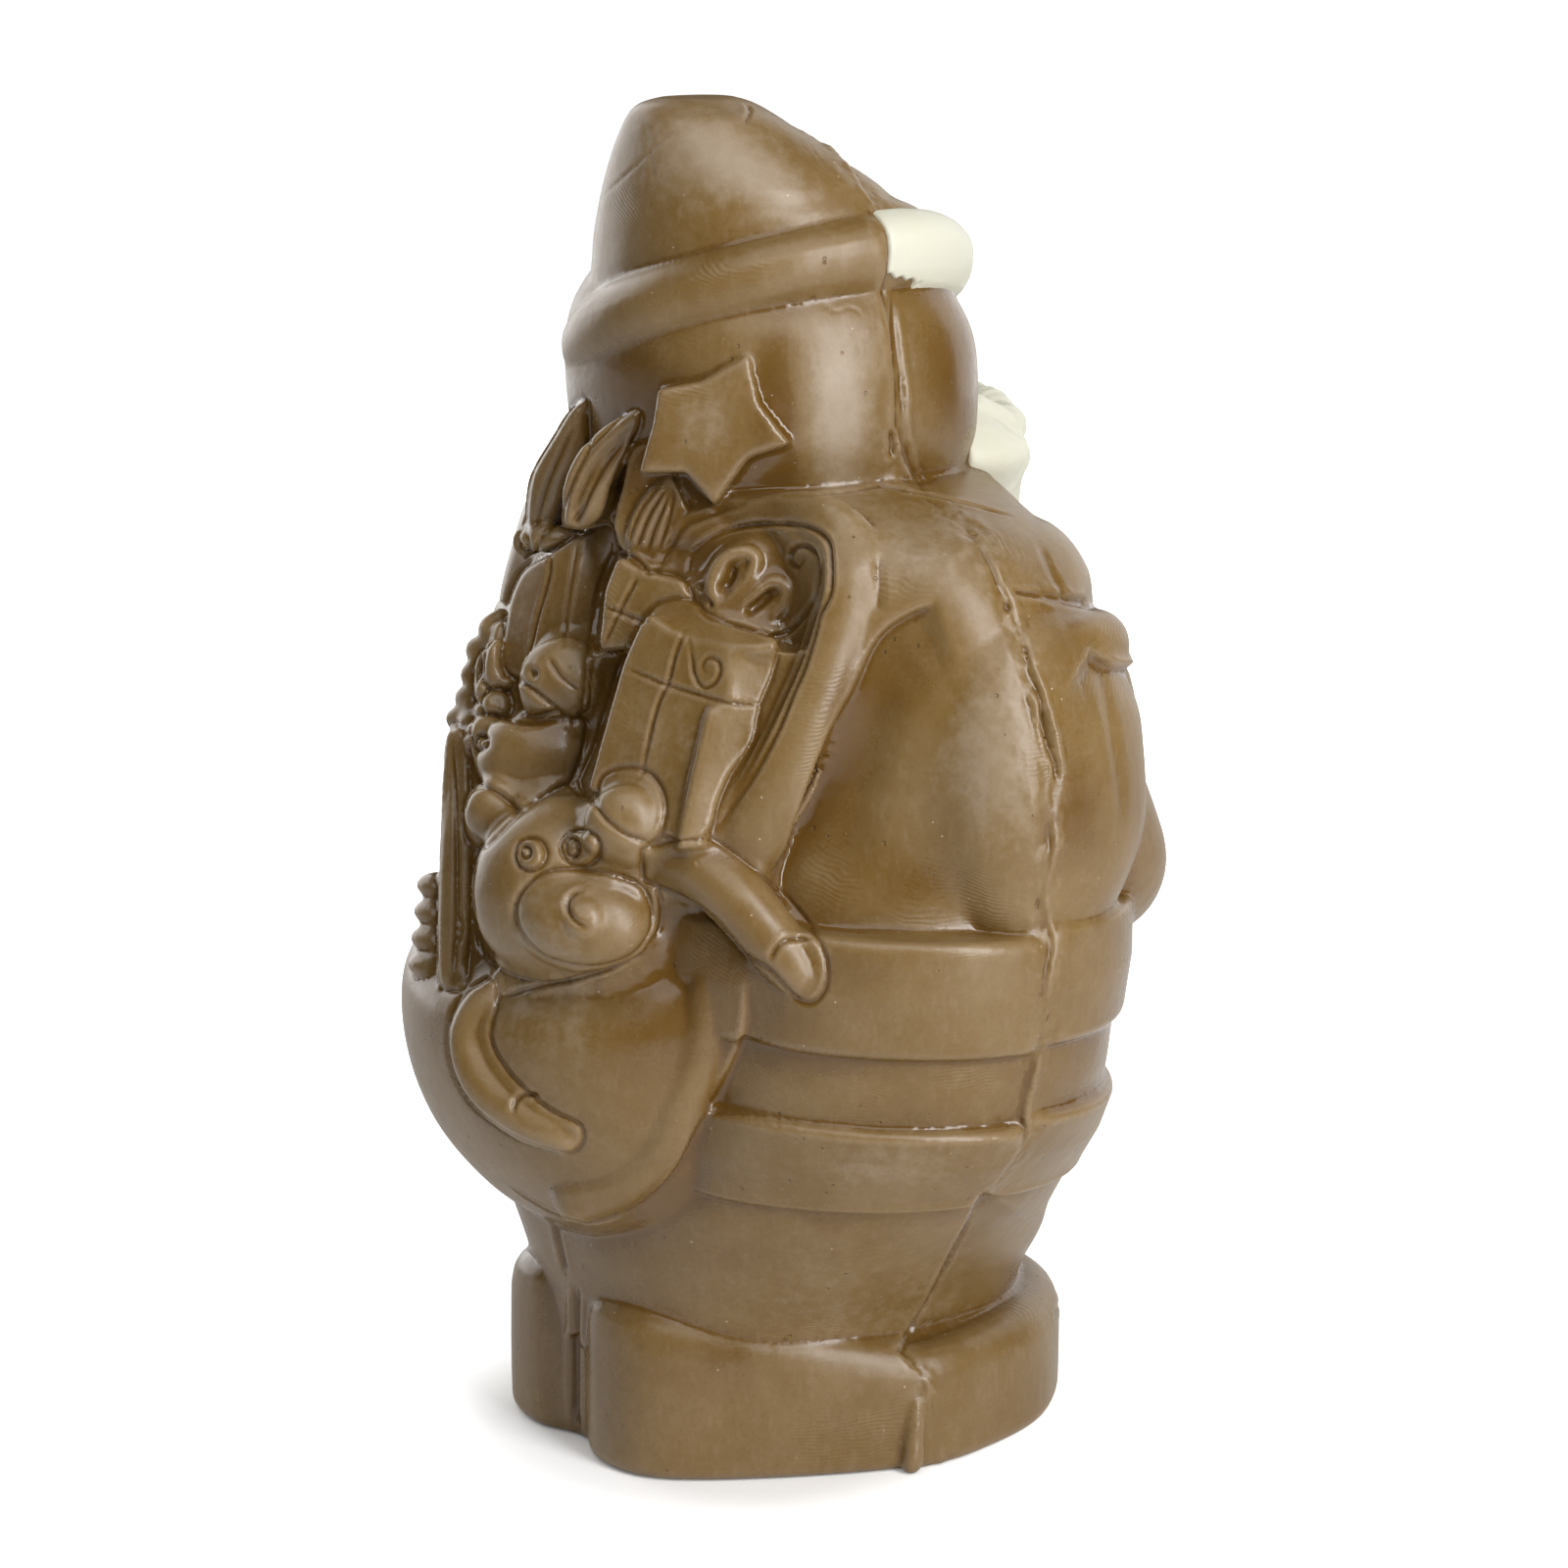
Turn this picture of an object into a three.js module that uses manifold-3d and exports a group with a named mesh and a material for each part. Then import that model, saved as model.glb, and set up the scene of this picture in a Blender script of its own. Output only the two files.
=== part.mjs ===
// A moulded chocolate figure of Santa Claus with a sack of toys on his back, in millimetres, +Z up.
// The origin is the middle of the flat base. He faces -Y, the sack hangs on the +Y side and his right
// hand side is at -X. The figure was cast in two half moulds that meet in the plane y = 0.
// The milk chocolate is one solid; the white chocolate of the hat's fur and of the beard are two more.

import * as THREE from 'three';
import { mergeVertices } from 'three/addons/utils/BufferGeometryUtils.js';
import Module from 'manifold-3d';

// Driving dimensions
const HEIGHT = 190;
const BOOT_TOP = 20.5;
const HEM_BOTTOM = 43.5;
const HEM_TOP = 58;
const BELT_BOTTOM = 68;
const BELT_TOP = 85;
const NECK = 138.5;
const BELT_HALF_WIDTH = 63.5;
const BELT_BACK = 41;
const BELT_FRONT = 36.4;
const SOLE_ROUNDING = 1.6;
const SACK_RECESS = 3;
const WHITE_DEPTH = 2.5;
const WHITE_GAP = 0.3;

const milkChocolate = new THREE.MeshStandardMaterial({ color: 0x8c6f4a, roughness: 0.42, metalness: 0 });
const whiteChocolate = new THREE.MeshStandardMaterial({ color: 0xf2eedb, roughness: 0.5, metalness: 0 });

const wasm = await Module();
wasm.setup();

// Solids: a closed mesh becomes a manifold, turned right side out where its faces point inwards
function solid(geometry) {
  const bare = new THREE.BufferGeometry();
  bare.setAttribute('position', geometry.getAttribute('position'));
  if (geometry.index) bare.setIndex(geometry.index);
  const merged = mergeVertices(bare, 1e-4);
  const points = merged.getAttribute('position');
  const corner = [0, 1, 2].map(() => new THREE.Vector3());
  const triangles = [];
  let volume = 0;
  for (let i = 0; i < merged.index.count; i += 3) {
    const abc = [0, 1, 2].map((k) => merged.index.getX(i + k));
    if (new Set(abc).size < 3) continue;
    triangles.push(abc);
    corner.forEach((c, k) => c.fromBufferAttribute(points, abc[k]));
    volume += corner[0].dot(corner[1].clone().cross(corner[2]));
  }
  if (volume < 0) triangles.forEach((abc) => abc.reverse());
  return new wasm.Manifold(new wasm.Mesh({
    numProp: 3,
    vertProperties: new Float32Array(points.array),
    triVerts: new Uint32Array(triangles.flat()),
  }));
}

const join = (solids) => solids.reduce((whole, next) => whole.add(next));
const both = (make) => join([make(-1), make(1)]);

// An upright shape with its face, its own +Z, towards a compass angle: 0 is the figure's front, 180 its
// back and 236 the side where the right arm meets the sack. Lift leans the face up, roll turns it in place.
function facing(geometry, at, azimuth, lift = 0, roll = 0) {
  const rad = THREE.MathUtils.degToRad;
  geometry.rotateZ(rad(roll)).rotateX(rad(90 - lift)).rotateZ(rad(azimuth));
  return solid(geometry.translate(...at));
}

// A round form by its half width, half height and half depth
function ball(at, [width, height, depth], azimuth = 0, { lift = 0, roll = 0, sides = 12, rows = 8 } = {}) {
  return facing(new THREE.SphereGeometry(1, sides, rows).scale(width, height, depth), at, azimuth, lift, roll);
}

// A block by its full width, height and depth, set back from the middle of its face
function block(at, [width, height, depth], azimuth, { lift = 0, roll = 0 } = {}) {
  const geometry = new THREE.BoxGeometry(width, height, depth).translate(0, 0, -depth / 2);
  return facing(geometry, at, azimuth, lift, roll);
}

// A value between the rings of a loft, on a Catmull-Rom spline or along straight lines
function between(values, t, smooth) {
  const last = values.length - 1;
  const i = Math.min(Math.floor(t * last), last - 1);
  const f = t * last - i;
  if (!smooth) return THREE.MathUtils.lerp(values[i], values[i + 1], f);
  const [a, b, c, d] = [i - 1, i, i + 1, i + 2].map((k) => values[THREE.MathUtils.clamp(k, 0, last)]);
  return 0.5 * (2 * b + (c - a) * f + (2 * a - 5 * b + 4 * c - d) * f * f + (3 * b - a - 3 * c + d) * f ** 3);
}

// A ring outline as a superellipse of exponent n; the back and the front half have depths of their own
function superellipse(angle, ring) {
  const [c, s] = [Math.cos(angle), Math.sin(angle)];
  const depth = s > 0 ? ring.back : ring.front;
  const power = 2 / ring.n;
  return [ring.width * Math.sign(c) * Math.abs(c) ** power, depth * Math.sign(s) * Math.abs(s) ** power];
}

// A closed skin over level rings { z, width, back, front, x, y, tiltX, tiltY, n }, from bottom to top
const PLAIN_RING = { z: 0, width: 1, back: 1, front: 1, x: 0, y: 0, tiltX: 0, tiltY: 0, n: 2.2 };

function loft(rings, { sides = 36, rows = 1, smooth = false, outline = superellipse } = {}) {
  const keys = Object.keys(PLAIN_RING);
  const lists = rings.map((ring) => ({ ...PLAIN_RING, ...ring }));
  const steps = (rings.length - 1) * rows;
  const profile = [new THREE.Vector2(0, 0)];
  for (let i = 0; i <= steps; i++) profile.push(new THREE.Vector2(1, i / steps));
  profile.push(new THREE.Vector2(0, 1));
  const lathe = new THREE.LatheGeometry(profile, sides);
  const points = lathe.getAttribute('position');
  for (let i = 0; i < points.count; i++) {
    const t = THREE.MathUtils.clamp(points.getY(i), 0, 1);
    const ring = Object.fromEntries(keys.map((key) => [key, between(lists.map((r) => r[key]), t, smooth)]));
    const onAxis = Math.hypot(points.getX(i), points.getZ(i)) < 0.5;
    const step = Math.round((Math.atan2(points.getX(i), points.getZ(i)) / (2 * Math.PI)) * sides);
    const [x, y] = onAxis ? [0, 0] : outline((step / sides) * 2 * Math.PI, ring);
    points.setXYZ(i, ring.x + x, ring.y + y, ring.z + ring.tiltX * x + ring.tiltY * y);
  }
  return solid(lathe);
}

// A round bar along a smooth curve, with a radius that changes evenly from end to end and round ends
const END_TURNS = [0, 50];

function limb(path, startRadius, endRadius, { sides = 8, steps = 6 } = {}) {
  const curve = new THREE.CatmullRomCurve3(path.map((p) => new THREE.Vector3(...p)));
  const frames = curve.computeFrenetFrames(steps, false);
  const stations = END_TURNS.map((turn) => ({ row: 0, turn, end: -1 }));
  for (let row = 0; row <= steps; row++) stations.push({ row, turn: 90, end: 0 });
  stations.push(...END_TURNS.toReversed().map((turn) => ({ row: steps, turn, end: 1 })));
  const profile = stations.map((s, i) => new THREE.Vector2(s.turn > 0 ? 1 : 0, i));
  const lathe = new THREE.LatheGeometry(profile, sides);
  const points = lathe.getAttribute('position');
  for (let i = 0; i < points.count; i++) {
    const { row, turn, end } = stations[Math.round(points.getY(i))];
    const radius = THREE.MathUtils.lerp(startRadius, endRadius, row / steps);
    const step = Math.round((Math.atan2(points.getX(i), points.getZ(i)) / (2 * Math.PI)) * sides);
    const angle = (step / sides) * 2 * Math.PI;
    const reach = radius * Math.sin(THREE.MathUtils.degToRad(turn));
    const point = curve.getPointAt(row / steps);
    point.addScaledVector(frames.tangents[row], end * radius * Math.cos(THREE.MathUtils.degToRad(turn)));
    point.addScaledVector(frames.normals[row], reach * Math.cos(angle));
    point.addScaledVector(frames.binormals[row], reach * Math.sin(angle));
    points.setXYZ(i, point.x, point.y, point.z);
  }
  return solid(lathe);
}

// Boots: one block with a heel corner on each side, rounded at the sole and grooved between the feet
const BOOT_HALF = [
  [0, 34.5], [9, 37.5], [19.5, 34.2], [29, 19.5], [36.8, 0], [36.2, -12], [31, -25.4], [19.2, -36.5], [8, -38.5], [0, -36],
];

function bootOutline(angle, ring) {
  const right = BOOT_HALF.map(([x, y]) => new THREE.Vector3(-x, y, 0));
  const left = BOOT_HALF.slice(1, -1).toReversed().map(([x, y]) => new THREE.Vector3(x, y, 0));
  const curve = new THREE.CatmullRomCurve3([...right, ...left], true);
  const point = curve.getPoint(THREE.MathUtils.euclideanModulo(angle / (2 * Math.PI), 1));
  return [point.x * ring.width, point.y * ring.width];
}

function boots() {
  const rings = [
    { z: 0, width: 1 - SOLE_ROUNDING / BELT_BACK }, { z: SOLE_ROUNDING, width: 1 }, { z: BOOT_TOP - 5, width: 1 },
    { z: BOOT_TOP - 1.8, width: 0.97 }, { z: BOOT_TOP, width: 0.92 },
  ];
  const pair = loft(rings, { sides: 38, outline: bootOutline });
  return pair.subtract(block([0, 41, 8], [2.6, 40, 8], 180)).subtract(block([0, -50, 8], [2.6, 40, 16], 0));
}

function trousers() {
  return loft([
    { z: BOOT_TOP - 5, width: 30.5, back: 35.5, front: 34 },
    { z: BOOT_TOP + 1, width: 32, back: 36.2, front: 36.2 },
    { z: 27, width: 35.5, back: 37.2, front: 38 },
    { z: 33, width: 40, back: 38.4, front: 37.2 },
    { z: HEM_BOTTOM - 3, width: 46, back: 38.8, front: 37.4 },
    { z: HEM_BOTTOM + 3, width: 48, back: 38.8, front: 37 },
  ], { sides: 30 });
}

// Coat: the barrel of the body up to the shoulders; inset makes the same form that much smaller
function coat(inset = 0, { sides = 28 } = {}) {
  const level = (z, width, back, front) => (
    { z, width: width - inset, back: back - inset, front: front - inset }
  );
  return loft([
    level(HEM_BOTTOM + 1, 50, 38, 36), level(52, 55.5, 39, 35.8), level(62, 59.6, 39.5, 35),
    level(74, 60, 39, 36), level(88, 56.5, 34, 38), level(102, 55, 31.5, 38), level(114, 55.5, 31, 36),
    level(123, 55, 27.5, 33), level(130, 51.8, 25.8, 29.6), level(134.5, 46.5, 26, 25),
    level(137.5, 37, 26, 24.6), level(NECK + 0.5, 29, 25.6, 24.4),
  ], { sides });
}

// A raised band round the body with softly rounded edges
function band(bottom, top, lower, upper) {
  const rounding = 1.1;
  const level = (z, size, grow) => ({
    z, width: size.width + grow, back: size.back + grow, front: size.front + grow, tiltY: size.tiltY,
  });
  return loft([
    level(bottom, lower, -rounding), level(bottom + rounding, lower, 0),
    level(top - rounding, upper, 0), level(top, upper, -rounding),
  ], { sides: 34 });
}

function hem() {
  const lower = { width: 51, back: 39.8, front: 36.4, tiltY: 0.06 };
  const upper = { width: 60, back: 41, front: 36, tiltY: 0.06 };
  return band(HEM_BOTTOM, HEM_TOP, lower, upper);
}

function belt() {
  const lower = { width: BELT_HALF_WIDTH - 1.3, back: BELT_BACK, front: BELT_FRONT, tiltY: 0.04 };
  const upper = { width: BELT_HALF_WIDTH, back: BELT_BACK - 1, front: BELT_FRONT + 0.5, tiltY: 0.04 };
  return band(BELT_BOTTOM, BELT_TOP, lower, upper);
}

// Buckle: a square frame on the front of the belt
function buckle() {
  const frame = block([0, -BELT_FRONT - 2.6, 76], [24, 19, 6], 0);
  return frame.subtract(block([0, -BELT_FRONT - 4, 76], [15, 10.5, 2.8], 0));
}

// Arms: a full sleeve that hangs from the shoulder, a forearm across the belly, a cuff and a mitten
function arm(side) {
  const level = (z, width, back, front) => ({ z, width, back, front, x: side * 42, y: -2 });
  const sleeve = loft([
    level(76, 15, 8, 14), level(84, 20.3, 12, 19), level(94, 21.3, 15, 24.5), level(106, 21, 15.5, 24.2),
    level(115, 18.6, 14, 24), level(122, 15, 12, 18.5), level(127, 10, 8, 10),
  ], { sides: 12 });
  const forearm = [[side * 43.5, -16, 96.5], [side * 40.5, -23.5, 86.6], [side * 31, -30, 85], [side * 20, -35, 87.5]];
  return join([
    sleeve,
    limb(forearm, 12.4, 9.5, { sides: 10, steps: 4 }),
    ball([side * 20.5, -35.5, 88.4], [4.5, 11, 10.5], side * 24, { sides: 10, rows: 6 }),
    ball([side * 12, -39, 88], [8.5, 7.2, 6.4], side * 12, { sides: 10, rows: 6 }),
    ball([side * 13.5, -40.5, 94], [4.6, 3, 3.2], side * 12, { sides: 6, rows: 4 }),
  ]);
}

// Head and face: cheeks, nose and brows under the brim
function head() {
  return loft([
    { z: NECK - 4, width: 27, back: 27, front: 24 }, { z: NECK, width: 27, back: 27.5, front: 24.6 },
    { z: 146, width: 28.8, back: 29, front: 25.5 }, { z: 156, width: 28.6, back: 29.6, front: 25 },
    { z: 163, width: 26.5, back: 27.8, front: 21.5 }, { z: 171, width: 20, back: 22, front: 17 },
  ], { sides: 26 });
}

function face() {
  const small = { sides: 8, rows: 5 };
  return join([
    ball([0, -27, 149.6], [3.5, 3.4, 3.8], 0, small),
    both((side) => ball([side * 9.5, -22, 148.8], [5.4, 4, 3.6], 0, small)),
    ball([-7.4, -24, 155], [2.3, 1.9, 1.8], 0, small),
    ball([7.4, -24, 153.2], [2.3, 1.9, 1.8], 0, small),
  ]);
}

// Beard: full over the collar and pointed on the chest, with a moustache that ends at the cheeks;
// grow makes it larger all round, and reach carries it back into the body
function beard(grow = 0, reach = 0) {
  const level = (z, width, front, y) => ({ z, width: width + grow, front: front + grow, back: front + reach, y });
  return loft([
    level(111 - grow, 3, 3, -34), level(114, 6.5, 5.5, -32.5), level(122, 11.5, 9.5, -28), level(129, 15.5, 11.8, -24),
    level(135, 19.5, 13.2, -21.4), level(140, 22, 13.8, -21), level(144, 19.5, 11.8, -19.4),
    level(148 + grow, 15, 8.6, -17.5),
  ], { sides: 16 });
}

function moustache(grow = 0) {
  const path = (side) => [[side, -34, 143.8], [side * 7, -33.4, 142], [side * 12.5, -28.6, 142.8], [side * 15, -22.6, 146.4]];
  return both((side) => limb(path(side), 3.2 + grow, 1.7 + grow, { sides: 6, steps: 3 }));
}

// Hat: a cone that leans back over a fur brim, which sits lower on his left; its tail falls to the front
const BRIM = { z: 162.4, width: 27, back: 30.4, front: 25.7, y: 0.5, tiltX: -0.32, tiltY: -0.07, n: 2.1 };
const BRIM_HALF_HEIGHT = 5.8;

function hat() {
  return loft([
    { ...BRIM, z: 160, width: 23, back: 26, front: 21 },
    { z: 168, width: 23.8, back: 25.4, front: 21.5, y: 1.5, tiltX: -0.3, tiltY: -0.05 },
    { z: 171.5, width: 22, back: 23, front: 18, y: 3.7, tiltX: -0.28, tiltY: -0.04 },
    { z: 175, width: 19.6, back: 20.1, front: 16.2, y: 6.3, tiltX: -0.24, tiltY: -0.03 },
    { z: 181, width: 15, back: 14.9, front: 14.2, y: 10.5, tiltX: -0.18 },
    { z: 186.5, width: 10.4, back: 10.6, front: 10.6, y: 13.2, tiltX: -0.1 },
    { z: HEIGHT - 0.8, width: 7, back: 8, front: 8.4, y: 14 },
    { z: HEIGHT, width: 5, back: 6, front: 6.4, y: 14 },
  ], { sides: 28 });
}

function hatTail() {
  const path = [[6, 5, 179], [12.5, -2.5, 177.5], [17.2, -8.5, 172.5], [20, -14.5, 167]];
  return limb(path, 5.6, 4.2, { steps: 4 }).add(ball([21.5, -18.5, 161.4], [6.6, 6.2, 6.2], 0, { sides: 10, rows: 6 }));
}

// The brim is a thick rolled band
const brimLevel = (dz, edge) => ({
  ...BRIM, z: BRIM.z + dz, width: BRIM.width + edge, back: BRIM.back + edge, front: BRIM.front + edge,
});

function brim() {
  const h = BRIM_HALF_HEIGHT;
  const edges = [[-h, -3.5], [-h * 0.8, -0.8], [-h * 0.3, 0.3], [h * 0.3, 0], [h * 0.76, -1.8], [h, -5]];
  return loft(edges.map(([dz, edge]) => brimLevel(dz, edge)), { sides: 30 });
}

// Sack: a round bag below, and above it the mound that the toys lie on
function sack() {
  const level = (z, width, back, y) => ({ z, width, back, y, front: 16 });
  return loft([
    level(30.5, 8, 8, 26), level(33.5, 17, 15, 24), level(38.5, 25, 22.5, 23), level(47, 31.5, 29.5, 22.5),
    level(57, 35, 33, 22.5), level(67, 36.5, 33.5, 22), level(73, 37, 30, 21), level(77, 37.5, 26, 20),
    level(86, 39, 24.5, 18), level(98, 41, 21.5, 16), level(110, 41.5, 18.5, 14), level(121, 37, 17, 12),
    level(130, 29, 15.5, 9), level(136, 20, 15.5, 7),
  ], { sides: 22 });
}

// The opening of the sack as a recess in the coat's back, inside the rim
const RIM_HALF = [[0, 139], [14, 138], [26, 136], [34, 132], [38.6, 124], [39, 114], [37, 104], [33, 95], [29, 86]];

function opening() {
  const shape = new THREE.Shape(RIM_HALF.map(([x, z]) => new THREE.Vector2(x, z)));
  RIM_HALF.slice(1).toReversed().forEach(([x, z]) => shape.lineTo(-x, z));
  const prism = new THREE.ExtrudeGeometry(shape, { depth: 60, bevelEnabled: false }).rotateX(Math.PI / 2);
  return solid(prism.translate(0, 65, 0)).subtract(coat(SACK_RECESS, { sides: 20 }));
}

// The sack's thick rim, from the top of the opening down each side; the bag sags towards his right
function rim(side) {
  const at = (x, y, z) => (side < 0 ? [-x, y, z] : [x * 0.9, y - 1, z]);
  return limb([
    at(6, 26.8, 137), at(15, 25.8, 138.2), at(26, 21.8, 137.9), at(34.8, 17.8, 134.5), at(40.6, 16.2, 127),
    at(42.4, 17.6, 118), at(42.6, 20.8, 109), at(40.6, 25.6, 98), at(36.5, 30.5, 87),
  ], 2.8, 4.6, { sides: 7, steps: 13 });
}

// Five-pointed star that lies on the back of the head
function star() {
  const points = [0, 1, 2, 3, 4, 5, 6, 7, 8, 9].map((i) => {
    const angle = THREE.MathUtils.degToRad(90 + i * 36);
    const radius = i % 2 ? 6.2 : 11.4;
    return new THREE.Vector2(radius * Math.cos(angle), radius * Math.sin(angle));
  });
  const thickness = 6;
  const geometry = new THREE.ExtrudeGeometry(new THREE.Shape(points), {
    depth: thickness, bevelSize: 0.7, bevelThickness: 0.7, bevelOffset: -0.7, bevelSegments: 1,
  });
  return facing(geometry.translate(0, 0, -thickness), [-17.8, 24.4, 146.9], 228, 8, -29);
}

// Leaves that stand up out of the sack behind the neck, the second one hollowed like a loop
function leaves() {
  const leaf = (at, half, roll) => ball(at, half, 215, { roll, sides: 8, rows: 6 });
  return join([
    leaf([8.5, 30, 137], [4.6, 12, 4], -20),
    leaf([-1, 30.3, 137.2], [3.4, 11, 4], -32).subtract(leaf([-2.2, 33.4, 137], [1.4, 7.5, 2], -32)),
    ball([17.4, 24.6, 127.6], [2.2, 2.2, 4.5], 180, { sides: 6, rows: 4 }),
    ball([9, 32.6, 129.5], [4.5, 2, 2.5], 215, { sides: 8, rows: 6 }),
  ]);
}

// A wrapped present with a crossed ribbon: the middle of its face, its full sizes and the way it faces
function present(at, [width, height, depth], azimuth, lift, roll) {
  const bevel = 1.4;
  const ribbon = 0.8;
  const strip = 1.5;
  const wrap = (w, h, up, out) => {
    const shape = new THREE.Shape([[-w, -h], [w, -h], [w, h], [-w, h]].map(([x, y]) => new THREE.Vector2(x / 2, y / 2)));
    const settings = { depth: depth - bevel, bevelSize: bevel, bevelThickness: bevel, bevelOffset: -bevel, bevelSegments: 1 };
    const geometry = new THREE.ExtrudeGeometry(shape, out ? { depth, bevelEnabled: false } : settings);
    return facing(geometry.translate(0, up, out - depth), at, azimuth, lift, roll);
  };
  return join([
    wrap(width, height, 0, 0), wrap(strip, height + ribbon, 0, ribbon), wrap(width + ribbon, strip, height * 0.16, ribbon),
  ]);
}

// Three presents and, on the far side, a book with a strap
function presents() {
  return join([
    present([-26.4, 38, 110.5], [18, 26, 14], 207, 19, -11),
    present([3.8, 36.6, 119], [12, 22, 10], 205, 20, -4),
    present([-15, 34, 124.5], [11, 12, 8], 203, 22, -10),
    block([25, 33.5, 110], [14, 17, 13], 158, { lift: 18, roll: 5 }),
    block([25, 34.3, 110], [14.6, 2, 13], 158, { lift: 18, roll: 5 }),
  ]);
}

// A swirl of ribbon at the top of the sack: two loops from one knot and a curl
function bow() {
  const loop = (at, half, roll) => {
    const torus = new THREE.TorusGeometry(1, 0.3, 4, 10).scale(half[0], half[1], 8);
    return facing(torus, at, 226, 12, roll);
  };
  return join([
    loop([-23.9, 24.4, 128], [2.8, 5.2], -28),
    loop([-29.9, 23.4, 125.2], [3.2, 6], -68),
    loop([-36.2, 20.2, 131.2], [1.9, 2.1], 0),
    ball([-19.5, 28.6, 125], [1.8, 1.8, 1.8], 226, { sides: 6, rows: 4 }),
    ball([-15, 30.5, 130.5], [2.2, 2, 2], 226, { sides: 8, rows: 5 }),
    ball([-13, 26.4, 135], [3, 5, 3], 222, { roll: -20, sides: 8, rows: 5 }),
  ]);
}

// Teddy bear that leans out of the sack, with one arm over the belt and one down the bag
function bear() {
  const small = { sides: 8, rows: 5 };
  const rightArm = [[-25, 40, 90.2], [-34.6, 37, 88.6], [-42, 32.6, 82.8], [-46.6, 29.4, 78.4]];
  const leftArm = [[-7.6, 53.4, 72], [-6, 55.6, 66], [-8.4, 55.4, 59.5], [-15, 52.5, 54.5], [-20.4, 48.4, 51.8]];
  return join([
    ball([-13.4, 43.4, 84.8], [13.4, 13.4, 11.6], 232, { sides: 16, rows: 8 }),
    ball([-21, 45.6, 83.4], [10.2, 7, 7.6], 226, { sides: 12, rows: 7, roll: -4 }),
    ball([-25.6, 48.4, 84.6], [3.2, 3.2, 3], 232, small),
    ball([-26.8, 43, 97.3], [4.7, 4.8, 3.6], 232, { sides: 10, rows: 6 }),
    ball([-0.8, 47.6, 94.6], [4.3, 4.3, 4], 232, { sides: 10, rows: 6 }),
    ball([-17.4, 52.4, 91.2], [1.9, 2.3, 1.4], 215, small),
    ball([-22.2, 48, 92.6], [2.3, 2.3, 1.4], 228, small),
    limb(rightArm, 4, 4.7, { sides: 8, steps: 4 }),
    limb(leftArm, 3.4, 3.9, { sides: 8, steps: 5 }),
  ]);
}

// The smaller toys beside the bear: a fist, a flute, a doll's arm, a ball joint, a pony's head and beads
function fist() {
  return join([0, 1, 2, 3].map((i) => {
    const [x, y, z] = [16 - 1.9 * i, 46.4 + 1.6 * i, 80.2 - 3.2 * i];
    return ball([x, y, z], [4.5, 2, 3], 200, { sides: 6, rows: 4 });
  }));
}

function smallToys() {
  const tiny = { sides: 6, rows: 4 };
  return join([
    fist(),
    limb([[15, 42, 103], [10.4, 47, 90], [4, 52.4, 71]], 3, 3.2, { sides: 7, steps: 3 }),
    limb([[12.6, 37.8, 116], [10, 41.2, 108.5]], 2, 2, { sides: 6, steps: 1 }),
    ball([9.6, 42.2, 106.2], [2.3, 2, 2.3], 200, tiny),
    ball([-3.6, 39.4, 112.2], [5.4, 5, 4.6], 225, { sides: 10, rows: 7 }),
    ball([-1.8, 42.6, 100.8], [7.4, 6, 5.4], 232, { roll: -12, sides: 10, rows: 7 }),
    ball([8.4, 44, 102.4], [3.4, 3, 3], 232, { sides: 8, rows: 5 }),
    ball([9.8, 46.2, 103.4], [1, 1.2, 1], 200, tiny),
    ball([15.4, 38, 115], [2.4, 3, 5], 200, tiny),
    ball([16.4, 39, 109.6], [2.8, 3.4, 8], 200, tiny),
    ball([26, 30, 95], [9, 9, 9], 150, { sides: 12, rows: 7 }),
  ]);
}

// All that one half mould or the other shaped, in one piece
const body = coat().subtract(opening());
const moulded = join([
  body, boots(), trousers(), hem(), belt(), buckle(), both(arm), head(), face(), beard(), moustache(), hat(), hatTail(),
  brim(), sack(), both(rim), star(), leaves(), presents(), bow(), bear(), smallToys(),
]);

// White chocolate takes the place of the milk chocolate out to the surface, with a hairline gap between them
function whiteBrim(gap) {
  const [inside, outside] = [-WHITE_DEPTH - gap, 3];
  const core = loft([brimLevel(-12, inside), brimLevel(12, inside - 2)], { sides: 16 });
  const [low, high] = [1.2 - BRIM_HALF_HEIGHT - gap, BRIM_HALF_HEIGHT + gap];
  const shell = loft([brimLevel(low, outside), brimLevel(high, outside)], { sides: 16 });
  return shell.subtract(core).intersect(block([0, -60, 163], [80, 60, 59.7 + gap], 0));
}

function whiteBeard(gap) {
  const skin = beard(1 + gap).subtract(beard(-WHITE_DEPTH - gap, 30)).add(moustache(0.4 + gap));
  return skin.intersect(block([0, -60, 130], [80, 60, 43 + gap], 0));
}

function meshOf(manifold, name, material) {
  const mesh = manifold.getMesh();
  const geometry = new THREE.BufferGeometry();
  geometry.setAttribute('position', new THREE.BufferAttribute(new Float32Array(mesh.vertProperties), 3));
  geometry.setIndex(new THREE.BufferAttribute(new Uint32Array(mesh.triVerts), 1));
  const result = new THREE.Mesh(geometry, material);
  result.name = name;
  return result;
}

const milk = moulded.subtract(whiteBrim(WHITE_GAP)).subtract(whiteBeard(WHITE_GAP));
const figure = new THREE.Group();
figure.add(meshOf(milk, 'milk_chocolate_figure', milkChocolate));
figure.add(meshOf(moulded.intersect(whiteBrim(0)), 'white_hat_fur', whiteChocolate));
figure.add(meshOf(moulded.intersect(whiteBeard(0)), 'white_beard', whiteChocolate));

export default figure;
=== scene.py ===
import math

import bmesh
import bpy
import numpy as np
from bpy.props import FloatProperty, FloatVectorProperty, IntProperty, PointerProperty
from mathutils import Matrix, Vector, noise


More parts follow.
